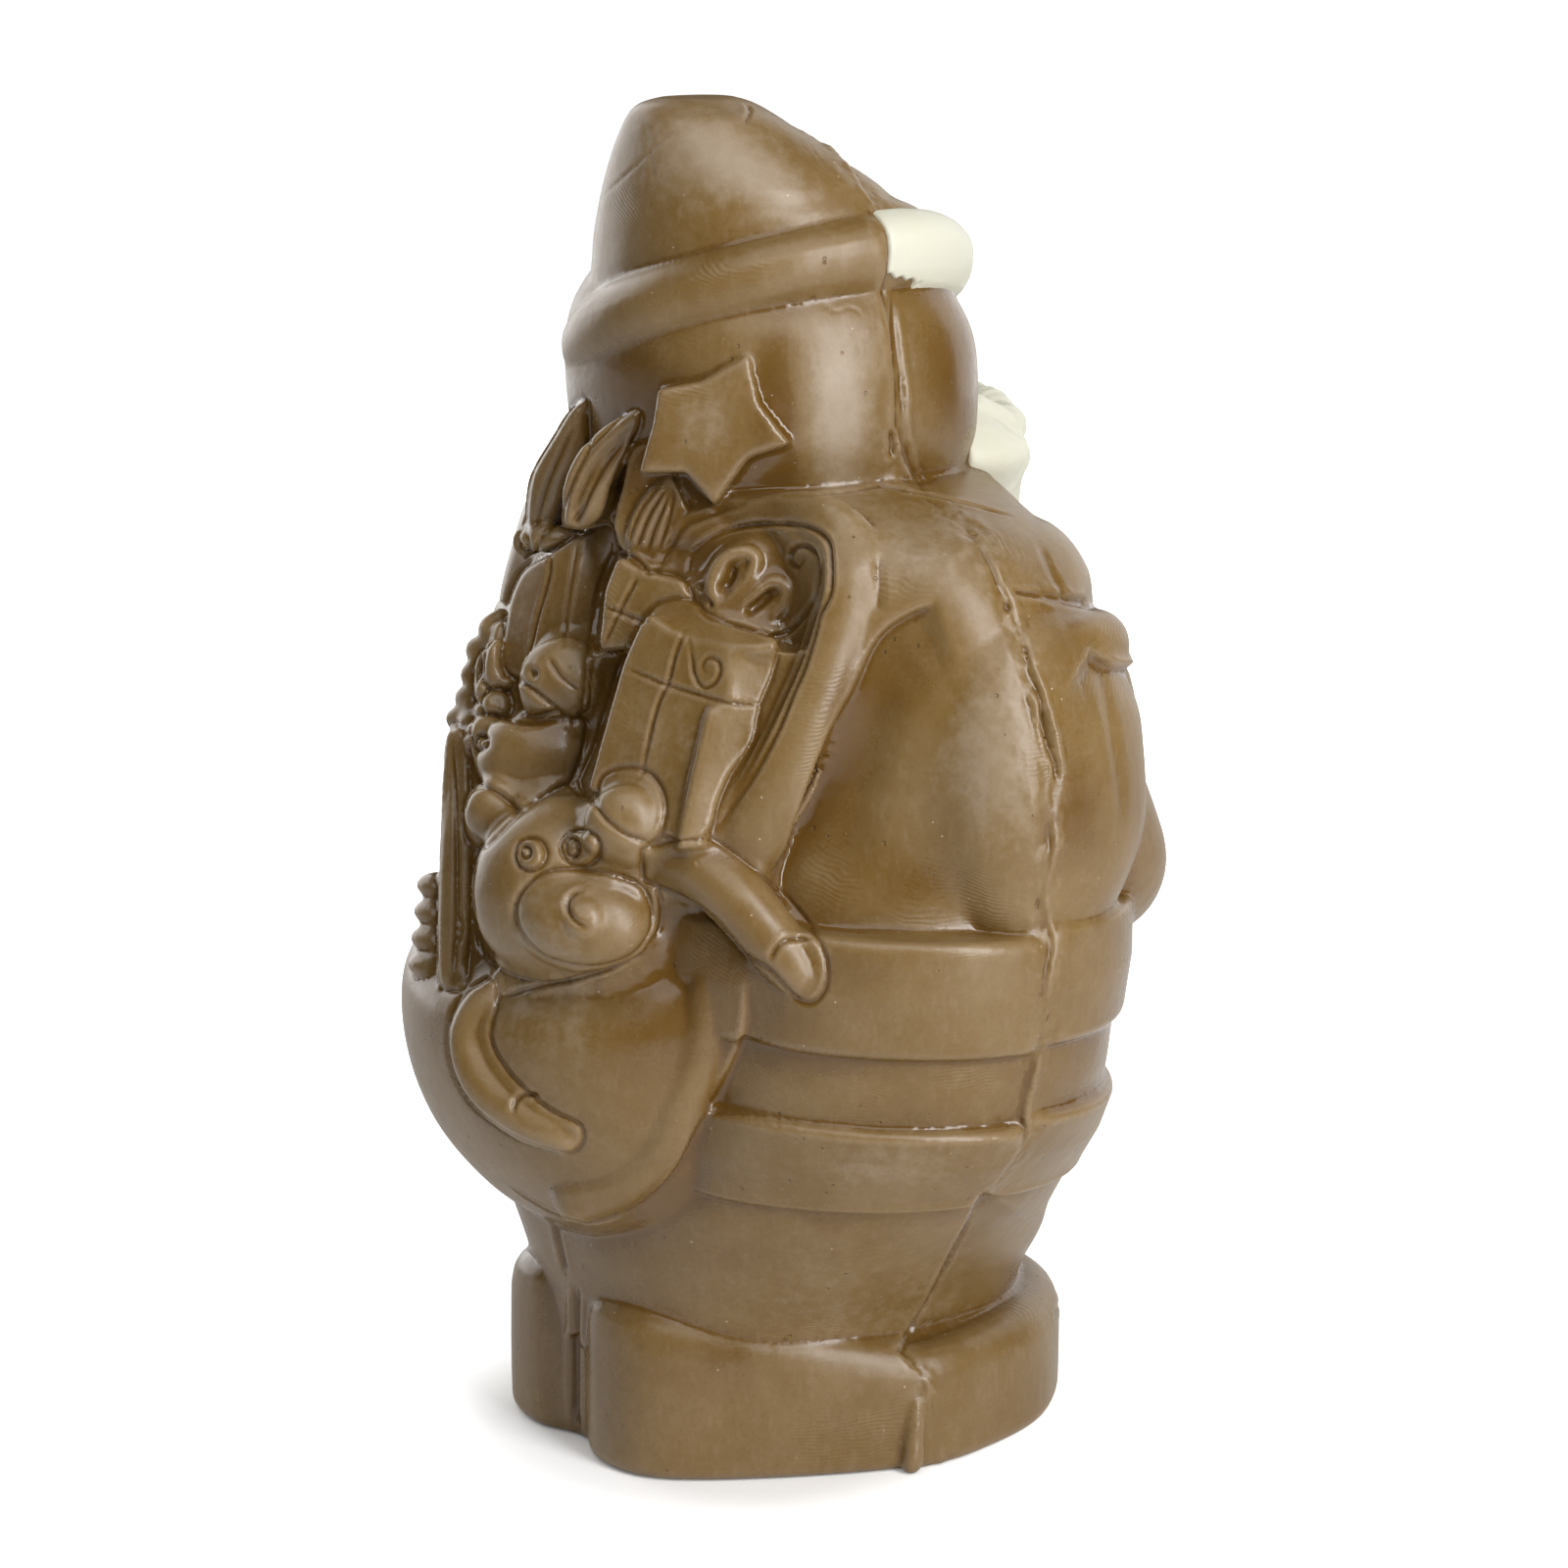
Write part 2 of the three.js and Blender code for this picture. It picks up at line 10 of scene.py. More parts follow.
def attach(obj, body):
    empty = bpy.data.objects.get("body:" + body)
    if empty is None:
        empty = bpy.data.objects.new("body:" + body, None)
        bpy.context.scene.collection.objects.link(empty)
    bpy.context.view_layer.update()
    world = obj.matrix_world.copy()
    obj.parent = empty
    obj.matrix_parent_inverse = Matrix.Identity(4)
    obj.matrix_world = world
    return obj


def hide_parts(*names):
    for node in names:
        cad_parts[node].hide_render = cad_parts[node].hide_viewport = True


bl_info = {
    "name": "Chocolate Santa Claus",
    "version": (1, 0, 0),
    "blender": (4, 5, 0),
    "location": "3D View > Sidebar > Chocolate",
    "description": "Casts a moulded chocolate Santa Claus with a sack of toys around its packed solids",
    "category": "Add Mesh",
}

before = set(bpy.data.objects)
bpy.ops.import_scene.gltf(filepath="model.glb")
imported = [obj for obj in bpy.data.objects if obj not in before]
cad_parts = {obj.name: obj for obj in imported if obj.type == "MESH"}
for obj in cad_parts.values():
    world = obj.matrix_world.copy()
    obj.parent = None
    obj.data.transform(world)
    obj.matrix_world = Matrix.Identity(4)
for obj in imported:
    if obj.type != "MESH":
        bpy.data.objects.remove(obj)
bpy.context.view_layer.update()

# All forms are worked out in millimetres, in the frame of the solids: +Z is up, he faces -Y and the sack
# hangs on the +Y side. The two half moulds met in the plane y = 0.
MM = 0.001

# The view of the photograph
PHOTO_SIDE = 1600
SENSOR = 36.0
VIEW_AZIMUTH = 236.0
VIEW_ELEVATION = 13.0
VIEW_DISTANCE = 620.0
VIEW_LENS = 99.5
VIEW_TARGET = (-0.26, -0.38, 92.1)
# The lens in pixels
VIEW_REACH = PHOTO_SIDE * VIEW_LENS / SENSOR

# Driving sizes, as in the solids
BOOT_TOP = 20.5
HEM_BOTTOM, HEM_TOP = 43.5, 58.0
BELT_BOTTOM, BELT_TOP = 68.0, 85.0
BELT_HALF_WIDTH, BELT_BACK, BELT_FRONT = 63.5, 41.0, 36.4
NECK = 138.5
HEIGHT = 190.0
SACK_RECESS = 3.0
BRIM_HALF_HEIGHT = 5.8
BRIM_MIDDLE, BRIM_TILT_X, BRIM_TILT_Y = 162.4, -0.32, -0.07


# View of the photograph

def direction(azimuth, elevation):
    """The unit vector from the figure towards a compass angle and an elevation."""
    a, e = math.radians(azimuth), math.radians(elevation)
    return Vector((math.sin(a) * math.cos(e), -math.cos(a) * math.cos(e), math.sin(e)))


def view_axes():
    """Towards the camera, to the right and up, as unit vectors."""
    back = direction(VIEW_AZIMUTH, VIEW_ELEVATION)
    right = Vector((0, 0, 1)).cross(back).normalized()
    return back, right, back.cross(right)


def view_ray(pixel):
    """The eye and the direction from it through one pixel of the photograph."""
    back, right, up = view_axes()
    eye = Vector(VIEW_TARGET) + back * VIEW_DISTANCE
    across, down = pixel[0] - PHOTO_SIDE / 2, pixel[1] - PHOTO_SIDE / 2
    return eye, (right * across - up * down - back * VIEW_REACH).normalized()


def on_plane(pixels, at, azimuth, lift):
    """Where pixels of the photograph fall on the plane through a point that faces a compass angle."""
    normal = turned(azimuth, lift) @ Vector((0, 0, 1))
    points = []
    for pixel in pixels:
        eye, ray = view_ray(pixel)
        points.append(eye + ray * ((Vector(at) - eye).dot(normal) / ray.dot(normal)))
    return points


def at_depth(pixel, towards):
    """The point that a pixel shows at a level distance from the upright axis towards the camera."""
    back = view_axes()[0]
    level_back = Vector((back.x, back.y, 0)).normalized()
    eye, ray = view_ray(pixel)
    return eye + ray * ((towards - eye.dot(level_back)) / ray.dot(level_back))


def pixels_of(points):
    """The pixels of the photograph that points fall on, and how far they are from the camera."""
    back, right, up = (np.array(axis) for axis in view_axes())
    away = np.array(VIEW_TARGET) + back * VIEW_DISTANCE - points
    depth = away @ back
    across = PHOTO_SIDE / 2 - VIEW_REACH * (away @ right) / depth
    down = PHOTO_SIDE / 2 + VIEW_REACH * (away @ up) / depth
    return np.stack([across, down], 1), depth


# Curves and placing

def spline(rows, steps, closed=False):
    """Catmull-Rom through the rows of a table, with so many steps between two of them."""
    p = np.asarray(rows, float)
    last = len(p) if closed else len(p) - 1
    t = np.linspace(0, last, last * steps + 1)
    i = np.minimum(t.astype(int), last - 1)
    f = (t - i)[:, None]
    near = [p[(i + k) % len(p)] if closed else p[np.clip(i + k, 0, last)] for k in (-1, 0, 1, 2)]
    a, b, c, d = near
    return 0.5 * (2 * b + (c - a) * f + (2 * a - 5 * b + 4 * c - d) * f**2 + (3 * b - a - 3 * c + d) * f**3)


def turned(azimuth, lift=0.0, roll=0.0):
    """A turn that points a form's face, its own +Z, towards a compass angle: 0 is the front, 180 the back."""
    turn = Matrix.Rotation(math.radians(azimuth), 4, "Z") @ Matrix.Rotation(math.radians(90 - lift), 4, "X")
    return turn @ Matrix.Rotation(math.radians(roll), 4, "Z")


def ramp(x, low, high):
    """0 below low, 1 above high, and smooth between them."""
    t = np.clip((x - low) / (high - low), 0, 1)
    return t * t * (3 - 2 * t)


# Forms

# How near to a cutting plane a point counts as lying on it
CUT_REACH = 1e-5


def add_part(whole, part):
    """Puts one closed form into the bmesh that gathers them."""
    bmesh.ops.recalc_face_normals(part, faces=part.faces[:])
    mesh = bpy.data.meshes.new("form")
    part.to_mesh(mesh)
    part.free()
    whole.from_mesh(mesh)
    bpy.data.meshes.remove(mesh)


def skin(whole, sections):
    """A closed skin over rings of points that are all as long as the first."""
    part = bmesh.new()
    ring = bmesh.ops.create_circle(part, cap_ends=False, segments=len(sections[0]), radius=1.0)["verts"]
    first = edges = list({e for v in ring for e in v.link_edges})
    for vert, point in zip(ring, sections[0]):
        vert.co = point
    for section in sections[1:]:
        made = bmesh.ops.extrude_edge_only(part, edges=edges)["geom"]
        fresh = {g for g in made if isinstance(g, bmesh.types.BMVert)}
        ring = [next(e.other_vert(v) for e in v.link_edges if e.other_vert(v) in fresh) for v in ring]
        edges = [g for g in made if isinstance(g, bmesh.types.BMEdge) and all(v in fresh for v in g.verts)]
        for vert, point in zip(ring, section):
            vert.co = point
    bmesh.ops.contextual_create(part, geom=first)
    bmesh.ops.contextual_create(part, geom=edges)
    add_part(whole, part)


def level(z, width, back, front, x=0.0, y=0.0, tilt_x=0.0, tilt_y=0.0, n=2.2):
    """One ring of a loft: a superellipse of exponent n with a depth of its own at the back and the front."""
    return [z, width, back, front, x, y, tilt_x, tilt_y, n]


def oval(ring, turns):
    """The points of one ring of a loft at some turns round it."""
    z, width, back, front, x0, y0, tilt_x, tilt_y, n = ring
    c, s = np.cos(turns), np.sin(turns)
    x = width * np.sign(c) * np.abs(c) ** (2 / n)
    y = np.where(s > 0, back, front) * np.sign(s) * np.abs(s) ** (2 / n)
    return np.stack([x0 + x, y0 + y, z + tilt_x * x + tilt_y * y], 1)


def loft(whole, rings, sides=96, steps=6):
    """A closed form over level rings, with smooth sides between them."""
    turns = np.linspace(0, 2 * np.pi, sides, endpoint=False)
    skin(whole, [oval(ring, turns) for ring in spline(rings, steps)])


def limb(whole, path, radii, sides=20, steps=8, flat=1.0, closed=False):
    """A round bar along a smooth curve with radii at its points and round ends; flat thins it outwards."""
    rows = np.c_[np.array(path, float), np.broadcast_to(radii, len(path))]
    line = spline(rows, steps, closed)
    points, reach = line[:, :3], line[:, 3]
    ahead = np.gradient(points, axis=0)
    ahead /= np.linalg.norm(ahead, axis=1)[:, None]
    side = np.cross(ahead[0], [0, 0, 1] if abs(ahead[0][2]) < 0.9 else [1, 0, 0])
    turns = np.linspace(0, 2 * np.pi, sides, endpoint=False)
    sections = []
    for i, (point, along, radius) in enumerate(zip(points, ahead, reach)):
        side = side - along * side.dot(along)
        side /= np.linalg.norm(side)
        up = np.cross(along, side)
        circle = np.outer(np.cos(turns), side) + np.outer(np.sin(turns), up)
        outward = np.array([point[0], point[1], 0.0]) / np.hypot(point[0], point[1])
        circle -= np.outer(circle @ outward, outward) * (1 - flat)
        rounds = {0: (10, 35, 60), len(points) - 1: (60, 35, 10)}.get(i, ())
        caps = [point + (-1 if i == 0 else 1) * along * radius * math.cos(math.radians(a))
                + circle * radius * math.sin(math.radians(a)) for a in rounds]
        own = point + circle * radius
        sections += caps + [own] if i == 0 else [own] + caps
    skin(whole, sections)


def seen_limb(whole, rows, flat=1.0):
    """A bar along pixels of the photograph, at distances towards the camera, with radii."""
    path = [at_depth(pixel, towards) for pixel, towards, _ in rows]
    limb(whole, path, [radius for _, _, radius in rows], sides=28, flat=flat)


def ball(whole, at, half, azimuth=0.0, lift=0.0, roll=0.0):
    """A round form by its half width, half height and half depth."""
    part = bmesh.new()
    place = Matrix.Translation(at) @ turned(azimuth, lift, roll) @ Matrix.Diagonal((*half, 1.0))
    bmesh.ops.create_uvsphere(part, u_segments=36, v_segments=22, radius=1.0, matrix=place)
    add_part(whole, part)


def bevelled(part, edge, segments):
    """Rounds all edges of a form."""
    bmesh.ops.bevel(part, geom=part.edges[:], offset=edge, affect="EDGES", segments=segments, profile=0.5,
                    material=-1)


def block(whole, at, size, azimuth, lift=0.0, roll=0.0, edge=1.2, grow=0.0):
    """A block by its full width, height and depth, set back from the middle of its face, or grown past it."""
    part = bmesh.new()
    middle = Matrix.Translation((0, 0, grow - size[2] / 2))
    place = Matrix.Translation(at) @ turned(azimuth, lift, roll) @ middle
    bmesh.ops.create_cube(part, size=1.0, matrix=Matrix.Diagonal((*size, 1.0)))
    bevelled(part, edge, 4)
    bmesh.ops.transform(part, matrix=place, verts=part.verts[:])
    add_part(whole, part)


def slab(whole, pixels, at, azimuth, lift, depth, edge):
    """A plate whose outline falls on pixels of the photograph, set back from the plane of its face."""
    part = bmesh.new()
    face = part.faces.new([part.verts.new(p) for p in on_plane(pixels, at, azimuth, lift)])
    away = turned(azimuth, lift) @ Vector((0, 0, -depth))
    made = bmesh.ops.extrude_face_region(part, geom=[face])["geom"]
    bmesh.ops.translate(part, vec=away, verts=[g for g in made if isinstance(g, bmesh.types.BMVert)])
    bevelled(part, edge, 3)
    add_part(whole, part)


def cut_half(whole, y, facing=-1):
    """Keeps what lies on one side of an upright plane and closes the cut with faces that meet it sharply."""
    cut = bmesh.ops.bisect_plane(whole, geom=whole.verts[:] + whole.edges[:] + whole.faces[:], dist=CUT_REACH,
                                 plane_co=(0, y, 0), plane_no=(0, -facing, 0), clear_outer=True)["geom_cut"]
    edges = [g for g in cut if isinstance(g, bmesh.types.BMEdge)]
    bmesh.ops.holes_fill(whole, edges=edges, sides=0)
    for edge in edges:
        edge.smooth = False


# The crown of a pillow: share of its outline, and of its rise
PILLOW = [(1.0, 0.0), (0.97, 0.35), (0.88, 0.66), (0.7, 0.87), (0.45, 0.97), (0.12, 1.0)]


def pillow(whole, pixels, at, azimuth, lift, depth, rise, wall=0.0, smooth=6):
    """A puffed form whose outline falls on pixels of the photograph: a wall and a crown above its plane."""
    points = np.array(on_plane(spline(pixels, smooth, closed=True)[:-1], at, azimuth, lift))
    centre = points.mean(0)
    face = np.array(turned(azimuth, lift).to_3x3())[:, 2]
    sections = [points - face * depth]
    sections += [centre + (points - centre) * share + face * (wall + rise * up) for share, up in PILLOW]
    skin(whole, sections)


# Clothes, head and hat

# The outline of the boots by x and y, from the middle of the back round the figure's left
BOOT_HALF = [
    (0, 34.5), (9, 37.5), (19.5, 34.2), (29, 19.5), (36.8, 0), (36.2, -12), (31, -25.4), (19.2, -36.5),
    (8, -38.5), (0, -36),
]
# The wall of the boots: height, and share of the outline
BOOT_WALL = [(0, 0.955), (0.25, 0.975), (0.7, 0.99), (1.6, 1.0), (6, 1.002), (11, 1.002), (15.5, 0.998),
             (17.6, 0.985), (18.9, 0.965), (19.9, 0.935), (BOOT_TOP, 0.89)]
# How their top slopes to the back, to the front and outwards, and the heights between which it sets in
BOOT_SLOPE_BACK, BOOT_SLOPE_FRONT, BOOT_SLOPE_OUT = 0.15, 0.03, 0.07
BOOT_SLOPE_FROM, BOOT_SLOPE_TO = 11, 17
# Chocolate that ran down the seam: path and radii
RUNS = [([(-36.3, 1.6, 10), (-36.5, 2.2, 4.5), (-36.6, 2.6, 1.5)], (0.6, 1.1, 1.5)),
        ([(-36.3, -2.6, 6), (-36.2, -2.6, 1.3)], (0.7, 1.2))]


def boots(whole):
    """Both boots in one block, whose top slopes, and the chocolate that ran down their seam."""
    right = [(-x, y) for x, y in BOOT_HALF]
    left = [(x, y) for x, y in BOOT_HALF[1:-1]][::-1]
    outline = spline(right + left, 6, closed=True)[:-1]
    x, y = outline.T
    slope = np.where(y > 0, BOOT_SLOPE_BACK, BOOT_SLOPE_FRONT) * y - BOOT_SLOPE_OUT * np.abs(x)
    skin(whole, [np.c_[outline * size, z + slope * ramp(z, BOOT_SLOPE_FROM, BOOT_SLOPE_TO)]
                 for z, size in BOOT_WALL])
    for path, radii in RUNS:
        limb(whole, path, radii)


# Lofts of the body by level rings: height, half width, depth at the back and depth at the front
TROUSERS = [
    level(15.5, 30.5, 35.5, 34), level(21.5, 32, 36.2, 36.2), level(27, 35.5, 37.2, 38),
    level(33, 40, 38.4, 37.2), level(40.5, 46, 38.8, 37.4), level(46.5, 48, 38.8, 37),
]
COAT = [
    level(44.5, 50, 38, 36), level(52, 55.5, 39, 35.8), level(62, 59.6, 39.5, 35), level(74, 60, 39, 36),
    level(88, 56.5, 34, 38), level(102, 55, 31.5, 38), level(114, 55.5, 31, 36), level(123, 55, 27.5, 33),
    level(130, 51.8, 25.8, 29.6), level(134.5, 46.5, 26, 25), level(137.5, 37, 26, 24.6),
    level(139, 29, 25.6, 24.4),
]
# The opening of the sack in the coat's back, by x and z, from the middle of its top down one side, and half
# the width over which the coat is pressed in there
OPENING_HALF = [(0, 139), (14, 138), (26, 136), (34, 132), (38.6, 124), (39, 114), (37, 104), (33, 95),
                (29, 86)]
OPENING_EDGE = 1.6


def inside_outline(x, z, outline):
    """How far points lie inside a closed outline, negative outside it."""
    ends = np.roll(outline, -1, 0)
    best = np.full(len(x), np.inf)
    crossings = np.zeros(len(x), int)
    for (x1, z1), (x2, z2) in zip(outline, ends):
        dx, dz = x2 - x1, z2 - z1
        t = np.clip(((x - x1) * dx + (z - z1) * dz) / (dx * dx + dz * dz), 0, 1)
        best = np.minimum(best, np.hypot(x - x1 - t * dx, z - z1 - t * dz))
        spans = (z1 > z) != (z2 > z)
        crossings += spans & (x < x1 + (z - z1) * dx / (dz if dz else 1e-9))
    return np.where(crossings % 2 == 1, best, -best)


def coat(whole):
    """The barrel of the body, pressed in on the back where the sack opens."""
    turns = np.linspace(0, 2 * np.pi, 180, endpoint=False)
    outline = np.array(OPENING_HALF + [(-x, z) for x, z in OPENING_HALF[:0:-1]])
    sections = []
    for ring in spline(COAT, 8):
        points = oval(ring, turns)
        press = ramp(inside_outline(points[:, 0], points[:, 2], outline), -OPENING_EDGE, OPENING_EDGE)
        press *= SACK_RECESS * (points[:, 1] > 0)
        inward = points * [1, 1, 0]
        points -= inward / np.linalg.norm(inward, axis=1)[:, None] * press[:, None]
        sections.append(points)
    skin(whole, sections)


# Bands round the body: bottom, top, half width, back and front at the bottom and at the top, and tilt
BANDS = [
    (HEM_BOTTOM, HEM_TOP, (51, 39.8, 36.4), (60, 41, 36), 0.06),
    (BELT_BOTTOM, BELT_TOP, (BELT_HALF_WIDTH - 1.3, BELT_BACK, BELT_FRONT),
     (BELT_HALF_WIDTH, BELT_BACK - 1, BELT_FRONT + 0.5), 0.04),
]
BAND_BULGE, BAND_ROUNDING = 0.5, 1.3
# How much lower the bands of the back half lie than those of the front half, and the share at their bottom
BAND_STEP, BAND_STEP_BELOW = 1.6, 0.6


def band(whole, bottom, top, lower, upper, tilt_y):
    """A raised band round the body with rounded edges."""
    corner = [(BAND_ROUNDING * (1 - math.cos(a)), BAND_ROUNDING * (1 - math.sin(a)))
              for a in (math.radians(turn) for turn in (0, 25, 50, 75, 90))]
    middle = [(a + b) / 2 + BAND_BULGE for a, b in zip(lower, upper)]
    rings = [level(bottom + rise, *[v - drawn for v in lower], tilt_y=tilt_y) for rise, drawn in corner]
    rings.append(level((bottom + top) / 2, *middle, tilt_y=tilt_y))
    rings += [level(top - rise, *[v - drawn for v in upper], tilt_y=tilt_y) for rise, drawn in corner[::-1]]
    turns = np.linspace(0, 2 * np.pi, 128, endpoint=False)
    skin(whole, [oval(ring, turns) for ring in rings])


def hem_and_belt(whole):
    """The hem of the coat and the belt, each in two halves that meet in a step at the seam."""
    for facing, drop in ((1, BAND_STEP), (-1, 0)):
        for bottom, top, lower, upper, tilt in BANDS:
            part = bmesh.new()
            band(part, bottom - drop * BAND_STEP_BELOW, top - drop, lower, upper, tilt)
            cut_half(part, 0, facing)
            add_part(whole, part)


BUCKLE_MIDDLE = 76


def buckle(whole):
    """A square frame on the belt with a bar across it."""
    for side in (-1, 1):
        block(whole, (side * 9.75, -BELT_FRONT - 2.6, BUCKLE_MIDDLE), (4.5, 19, 6), 0, edge=0.9)
        block(whole, (0, -BELT_FRONT - 2.6, BUCKLE_MIDDLE + side * 7.4), (24, 4.2, 6), 0, edge=0.9)
    block(whole, (0, -BELT_FRONT - 1.9, BUCKLE_MIDDLE), (2.4, 15, 5), 0, roll=90, edge=0.7)


def buttons(whole):
    """Three round buttons down the front."""
    for z, y in ((104, -37.6), (94.5, -38), (63, -35)):
        ball(whole, (0, y, z), (2, 2, 1.2))


SLEEVE = [(76, 15, 8, 14), (84, 20.3, 12, 19), (94, 21.3, 15, 24.5), (106, 21, 15.5, 24.2),
          (115, 18.6, 14, 24), (122, 15, 12, 18.5), (127, 10, 8, 10)]
SLEEVE_MIDDLE = (42, -2)
# Bars of the arm on the figure's left: path, radii and sides; its right arm mirrors them
ARM_BARS = [
    # rolled fold of the sleeve
    ([(54.5, -6, 121), (52.6, -12.5, 119.8), (48.8, -18.2, 118.5), (42, -21, 117.5), (35, -18, 117)],
     (2.4, 4, 4.7, 4.4, 3.2), 28),
    # forearm
    ([(43.5, -16, 96.5), (40.5, -23.5, 86.6), (31, -30, 85), (20, -35, 87.5)], (12.4, 11.4, 10.5, 9.5), 40),
]
THUMB = [(16.5, -40.5, 92), (13.5, -41.5, 94.2), (9.6, -42, 93.6)]


def mirrored(path, side):
    """A path on the figure's left, or its mirror image on the right where side is -1."""
    return [(side * x, y, z) for x, y, z in path]


def arm(whole, side):
    """A sleeve with its fold, the forearm, the cuff, the mitten and its thumb; side is -1 for his right."""
    middle_x, middle_y = SLEEVE_MIDDLE
    loft(whole, [level(*ring, x=side * middle_x, y=middle_y) for ring in SLEEVE], sides=64)
    for path, radii, sides in ARM_BARS:
        limb(whole, mirrored(path, side), radii, sides=sides)
    ball(whole, (side * 20.5, -35.5, 88.4), (4.5, 11, 10.5), side * 24)
    ball(whole, (side * 12, -39, 88), (8.5, 7.2, 6.4), side * 12)
    limb(whole, mirrored(THUMB, side), (3, 3.1, 2.7))


HEAD = [
    level(134.5, 27, 27, 24), level(138.5, 27, 27.5, 24.6), level(146, 28.8, 29, 25.5),
    level(156, 28.6, 29.6, 25), level(163, 26.5, 27.8, 21.5), level(171, 20, 22, 17),
]
BROW = [(4.2, -25.4, 156.5), (8, -24.7, 156.8), (12.2, -22.4, 154.5)]
MOUTH = [(-4.2, -34, 140.5), (-2, -34.7, 139.6), (0, -34.9, 139.3), (2, -34.7, 139.6), (4.2, -34, 140.5)]


def head_and_face(whole):
    """The head with its nose, and on both sides a cheek, a closed eye and a brow, and the smiling mouth."""
    loft(whole, HEAD, sides=96)
    ball(whole, (0, -27, 149.6), (3.5, 3.4, 3.8))
    for side in (-1, 1):
        ball(whole, (side * 9.5, -22, 148.8), (5.4, 4, 3.6))
        ball(whole, (side * 8, -23.3, 152.8), (2.5, 2.3, 1.7), side * 20)
        limb(whole, mirrored(BROW, side), (0.8, 1.1, 0.7))
    limb(whole, MOUTH, (0.6, 1, 1.15, 1, 0.6))


BEARD = [
    level(111, 3, 3, 3, y=-34), level(114, 6.5, 5.5, 5.5, y=-32.5), level(122, 11.5, 9.5, 9.5, y=-28),
    level(129, 15.5, 11.8, 11.8, y=-24), level(135, 19.5, 13.2, 13.2, y=-21.4),
    level(140, 22, 13.8, 13.8, y=-21), level(144, 19.5, 11.8, 11.8, y=-19.4),
    level(148, 15, 8.6, 8.6, y=-17.5),
]
MOUSTACHE = [(1, -34, 143.8), (7, -33.4, 142), (12.5, -28.6, 142.8), (15, -22.6, 146.4)]
MOUSTACHE_RADII = (3.2, 3, 2.5, 1.7)
# How far the milk chocolate lies under the white skin of the beard
BEARD_UNDER = -0.25


def beard_and_moustache(whole, grow=BEARD_UNDER):
    """The beard and the moustache, grown by what the white skin stands out or shrunk under it."""
    rings = [[r[0], r[1] + grow, r[2] + grow, r[3] + grow, *r[4:]] for r in BEARD]
    rings[0][0] -= grow
    rings[-1][0] += grow
    loft(whole, rings, sides=64)
    for side in (-1, 1):
        limb(whole, mirrored(MOUSTACHE, side), [radius + grow for radius in MOUSTACHE_RADII])


# The roll of the brim: share of its half height, and how far its outline moves out
BRIM_EDGES = [(-1, -3.9), (-0.94, -2.6), (-0.8, -1.2), (-0.55, -0.2), (-0.3, 0.2), (0, 0.3), (0.25, 0),
              (0.5, -0.9), (0.7, -2.0), (0.88, -3.5), (1, -5)]
BRIM_HALF_WIDTH, BRIM_BACK, BRIM_FRONT = 27, 30.4, 25.7
# How much it drops over the face, by millimetre to the front
BRIM_DROP = 0.05


def brim(whole, grow=0.0):
    """The rolled brim, which sits lower on the figure's left."""
    rings = []
    for up, edge in BRIM_EDGES:
        size = edge + grow
        rings.append(level(BRIM_MIDDLE + up * (BRIM_HALF_HEIGHT + grow), BRIM_HALF_WIDTH + size,
                           BRIM_BACK + size, BRIM_FRONT + size, y=0.5, tilt_x=BRIM_TILT_X, tilt_y=BRIM_TILT_Y,
                           n=2.1))
    turns = np.linspace(0, 2 * np.pi, 128, endpoint=False)
    sections = [oval(ring, turns) for ring in rings]
    for points in sections:
        points[:, 2] += BRIM_DROP * np.minimum(points[:, 1], 0)
    skin(whole, sections)


HAT = [
    level(160, 23, 26, 21, y=0.5, tilt_x=BRIM_TILT_X, tilt_y=BRIM_TILT_Y),
    level(168, 22.8, 25.4, 19.6, y=1.5, tilt_x=-0.3, tilt_y=-0.05),
    level(171.5, 21.2, 23, 16.4, y=3.7, tilt_x=-0.28, tilt_y=-0.04),
    level(175, 19.6, 20.1, 16.2, y=6.3, tilt_x=-0.24, tilt_y=-0.03),
    level(181, 15, 14.9, 14.2, y=10.5, tilt_x=-0.18), level(186.5, 10.4, 10.6, 10.6, y=13.2, tilt_x=-0.1),
    level(188.9, 7.2, 8.2, 8.6, y=14), level(HEIGHT, 4.2, 5, 5.4, y=14),
]
HAT_TAIL = [(6, 5, 179), (12.5, -2.5, 177.5), (17.2, -8.5, 172.5), (20, -14.5, 167)]
HAT_LUMPS = [(1.2, 16.9), (-1.6, 11.8)]


def hat(whole):
    """The hat with its tail, the pompom on the figure's left and two low lumps on its flat top."""
    loft(whole, HAT, sides=96)
    limb(whole, HAT_TAIL, (5.6, 5.1, 4.7, 4.2))
    ball(whole, (21.5, -18.5, 161.4), (6.6, 6.2, 6.2))
    for x, y in HAT_LUMPS:
        ball(whole, (x, y, HEIGHT - 1.5), (1.7, 1.7, 2.0))


# Sack and toys

# The sack by level rings: height, half width, depth at the back and y of the middle
SACK = [
    (30.5, 8, 8, 26), (33.5, 17, 15, 24), (38.5, 25, 22.5, 23), (47, 31.5, 29.5, 22.5), (57, 35, 33, 22.5),
    (67, 36.5, 33.5, 22), (73, 37, 30, 21), (77, 37.5, 26, 20), (86, 39, 24.5, 18), (98, 41, 21.5, 16),
    (110, 41.5, 18.5, 14), (121, 37, 17, 12), (130, 29, 15.5, 9), (136, 20, 15.5, 7),
]
SACK_FRONT = 16
# The rim of the sack on the figure's left, by its own points
RIM = [(6, 26.8, 137), (15, 25.8, 138.2), (26, 21.8, 137.9), (34.8, 17.8, 134.5), (40.6, 16.2, 127),
       (42.4, 17.6, 118), (42.6, 20.8, 109), (40.6, 25.6, 98), (36.5, 30.5, 87)]
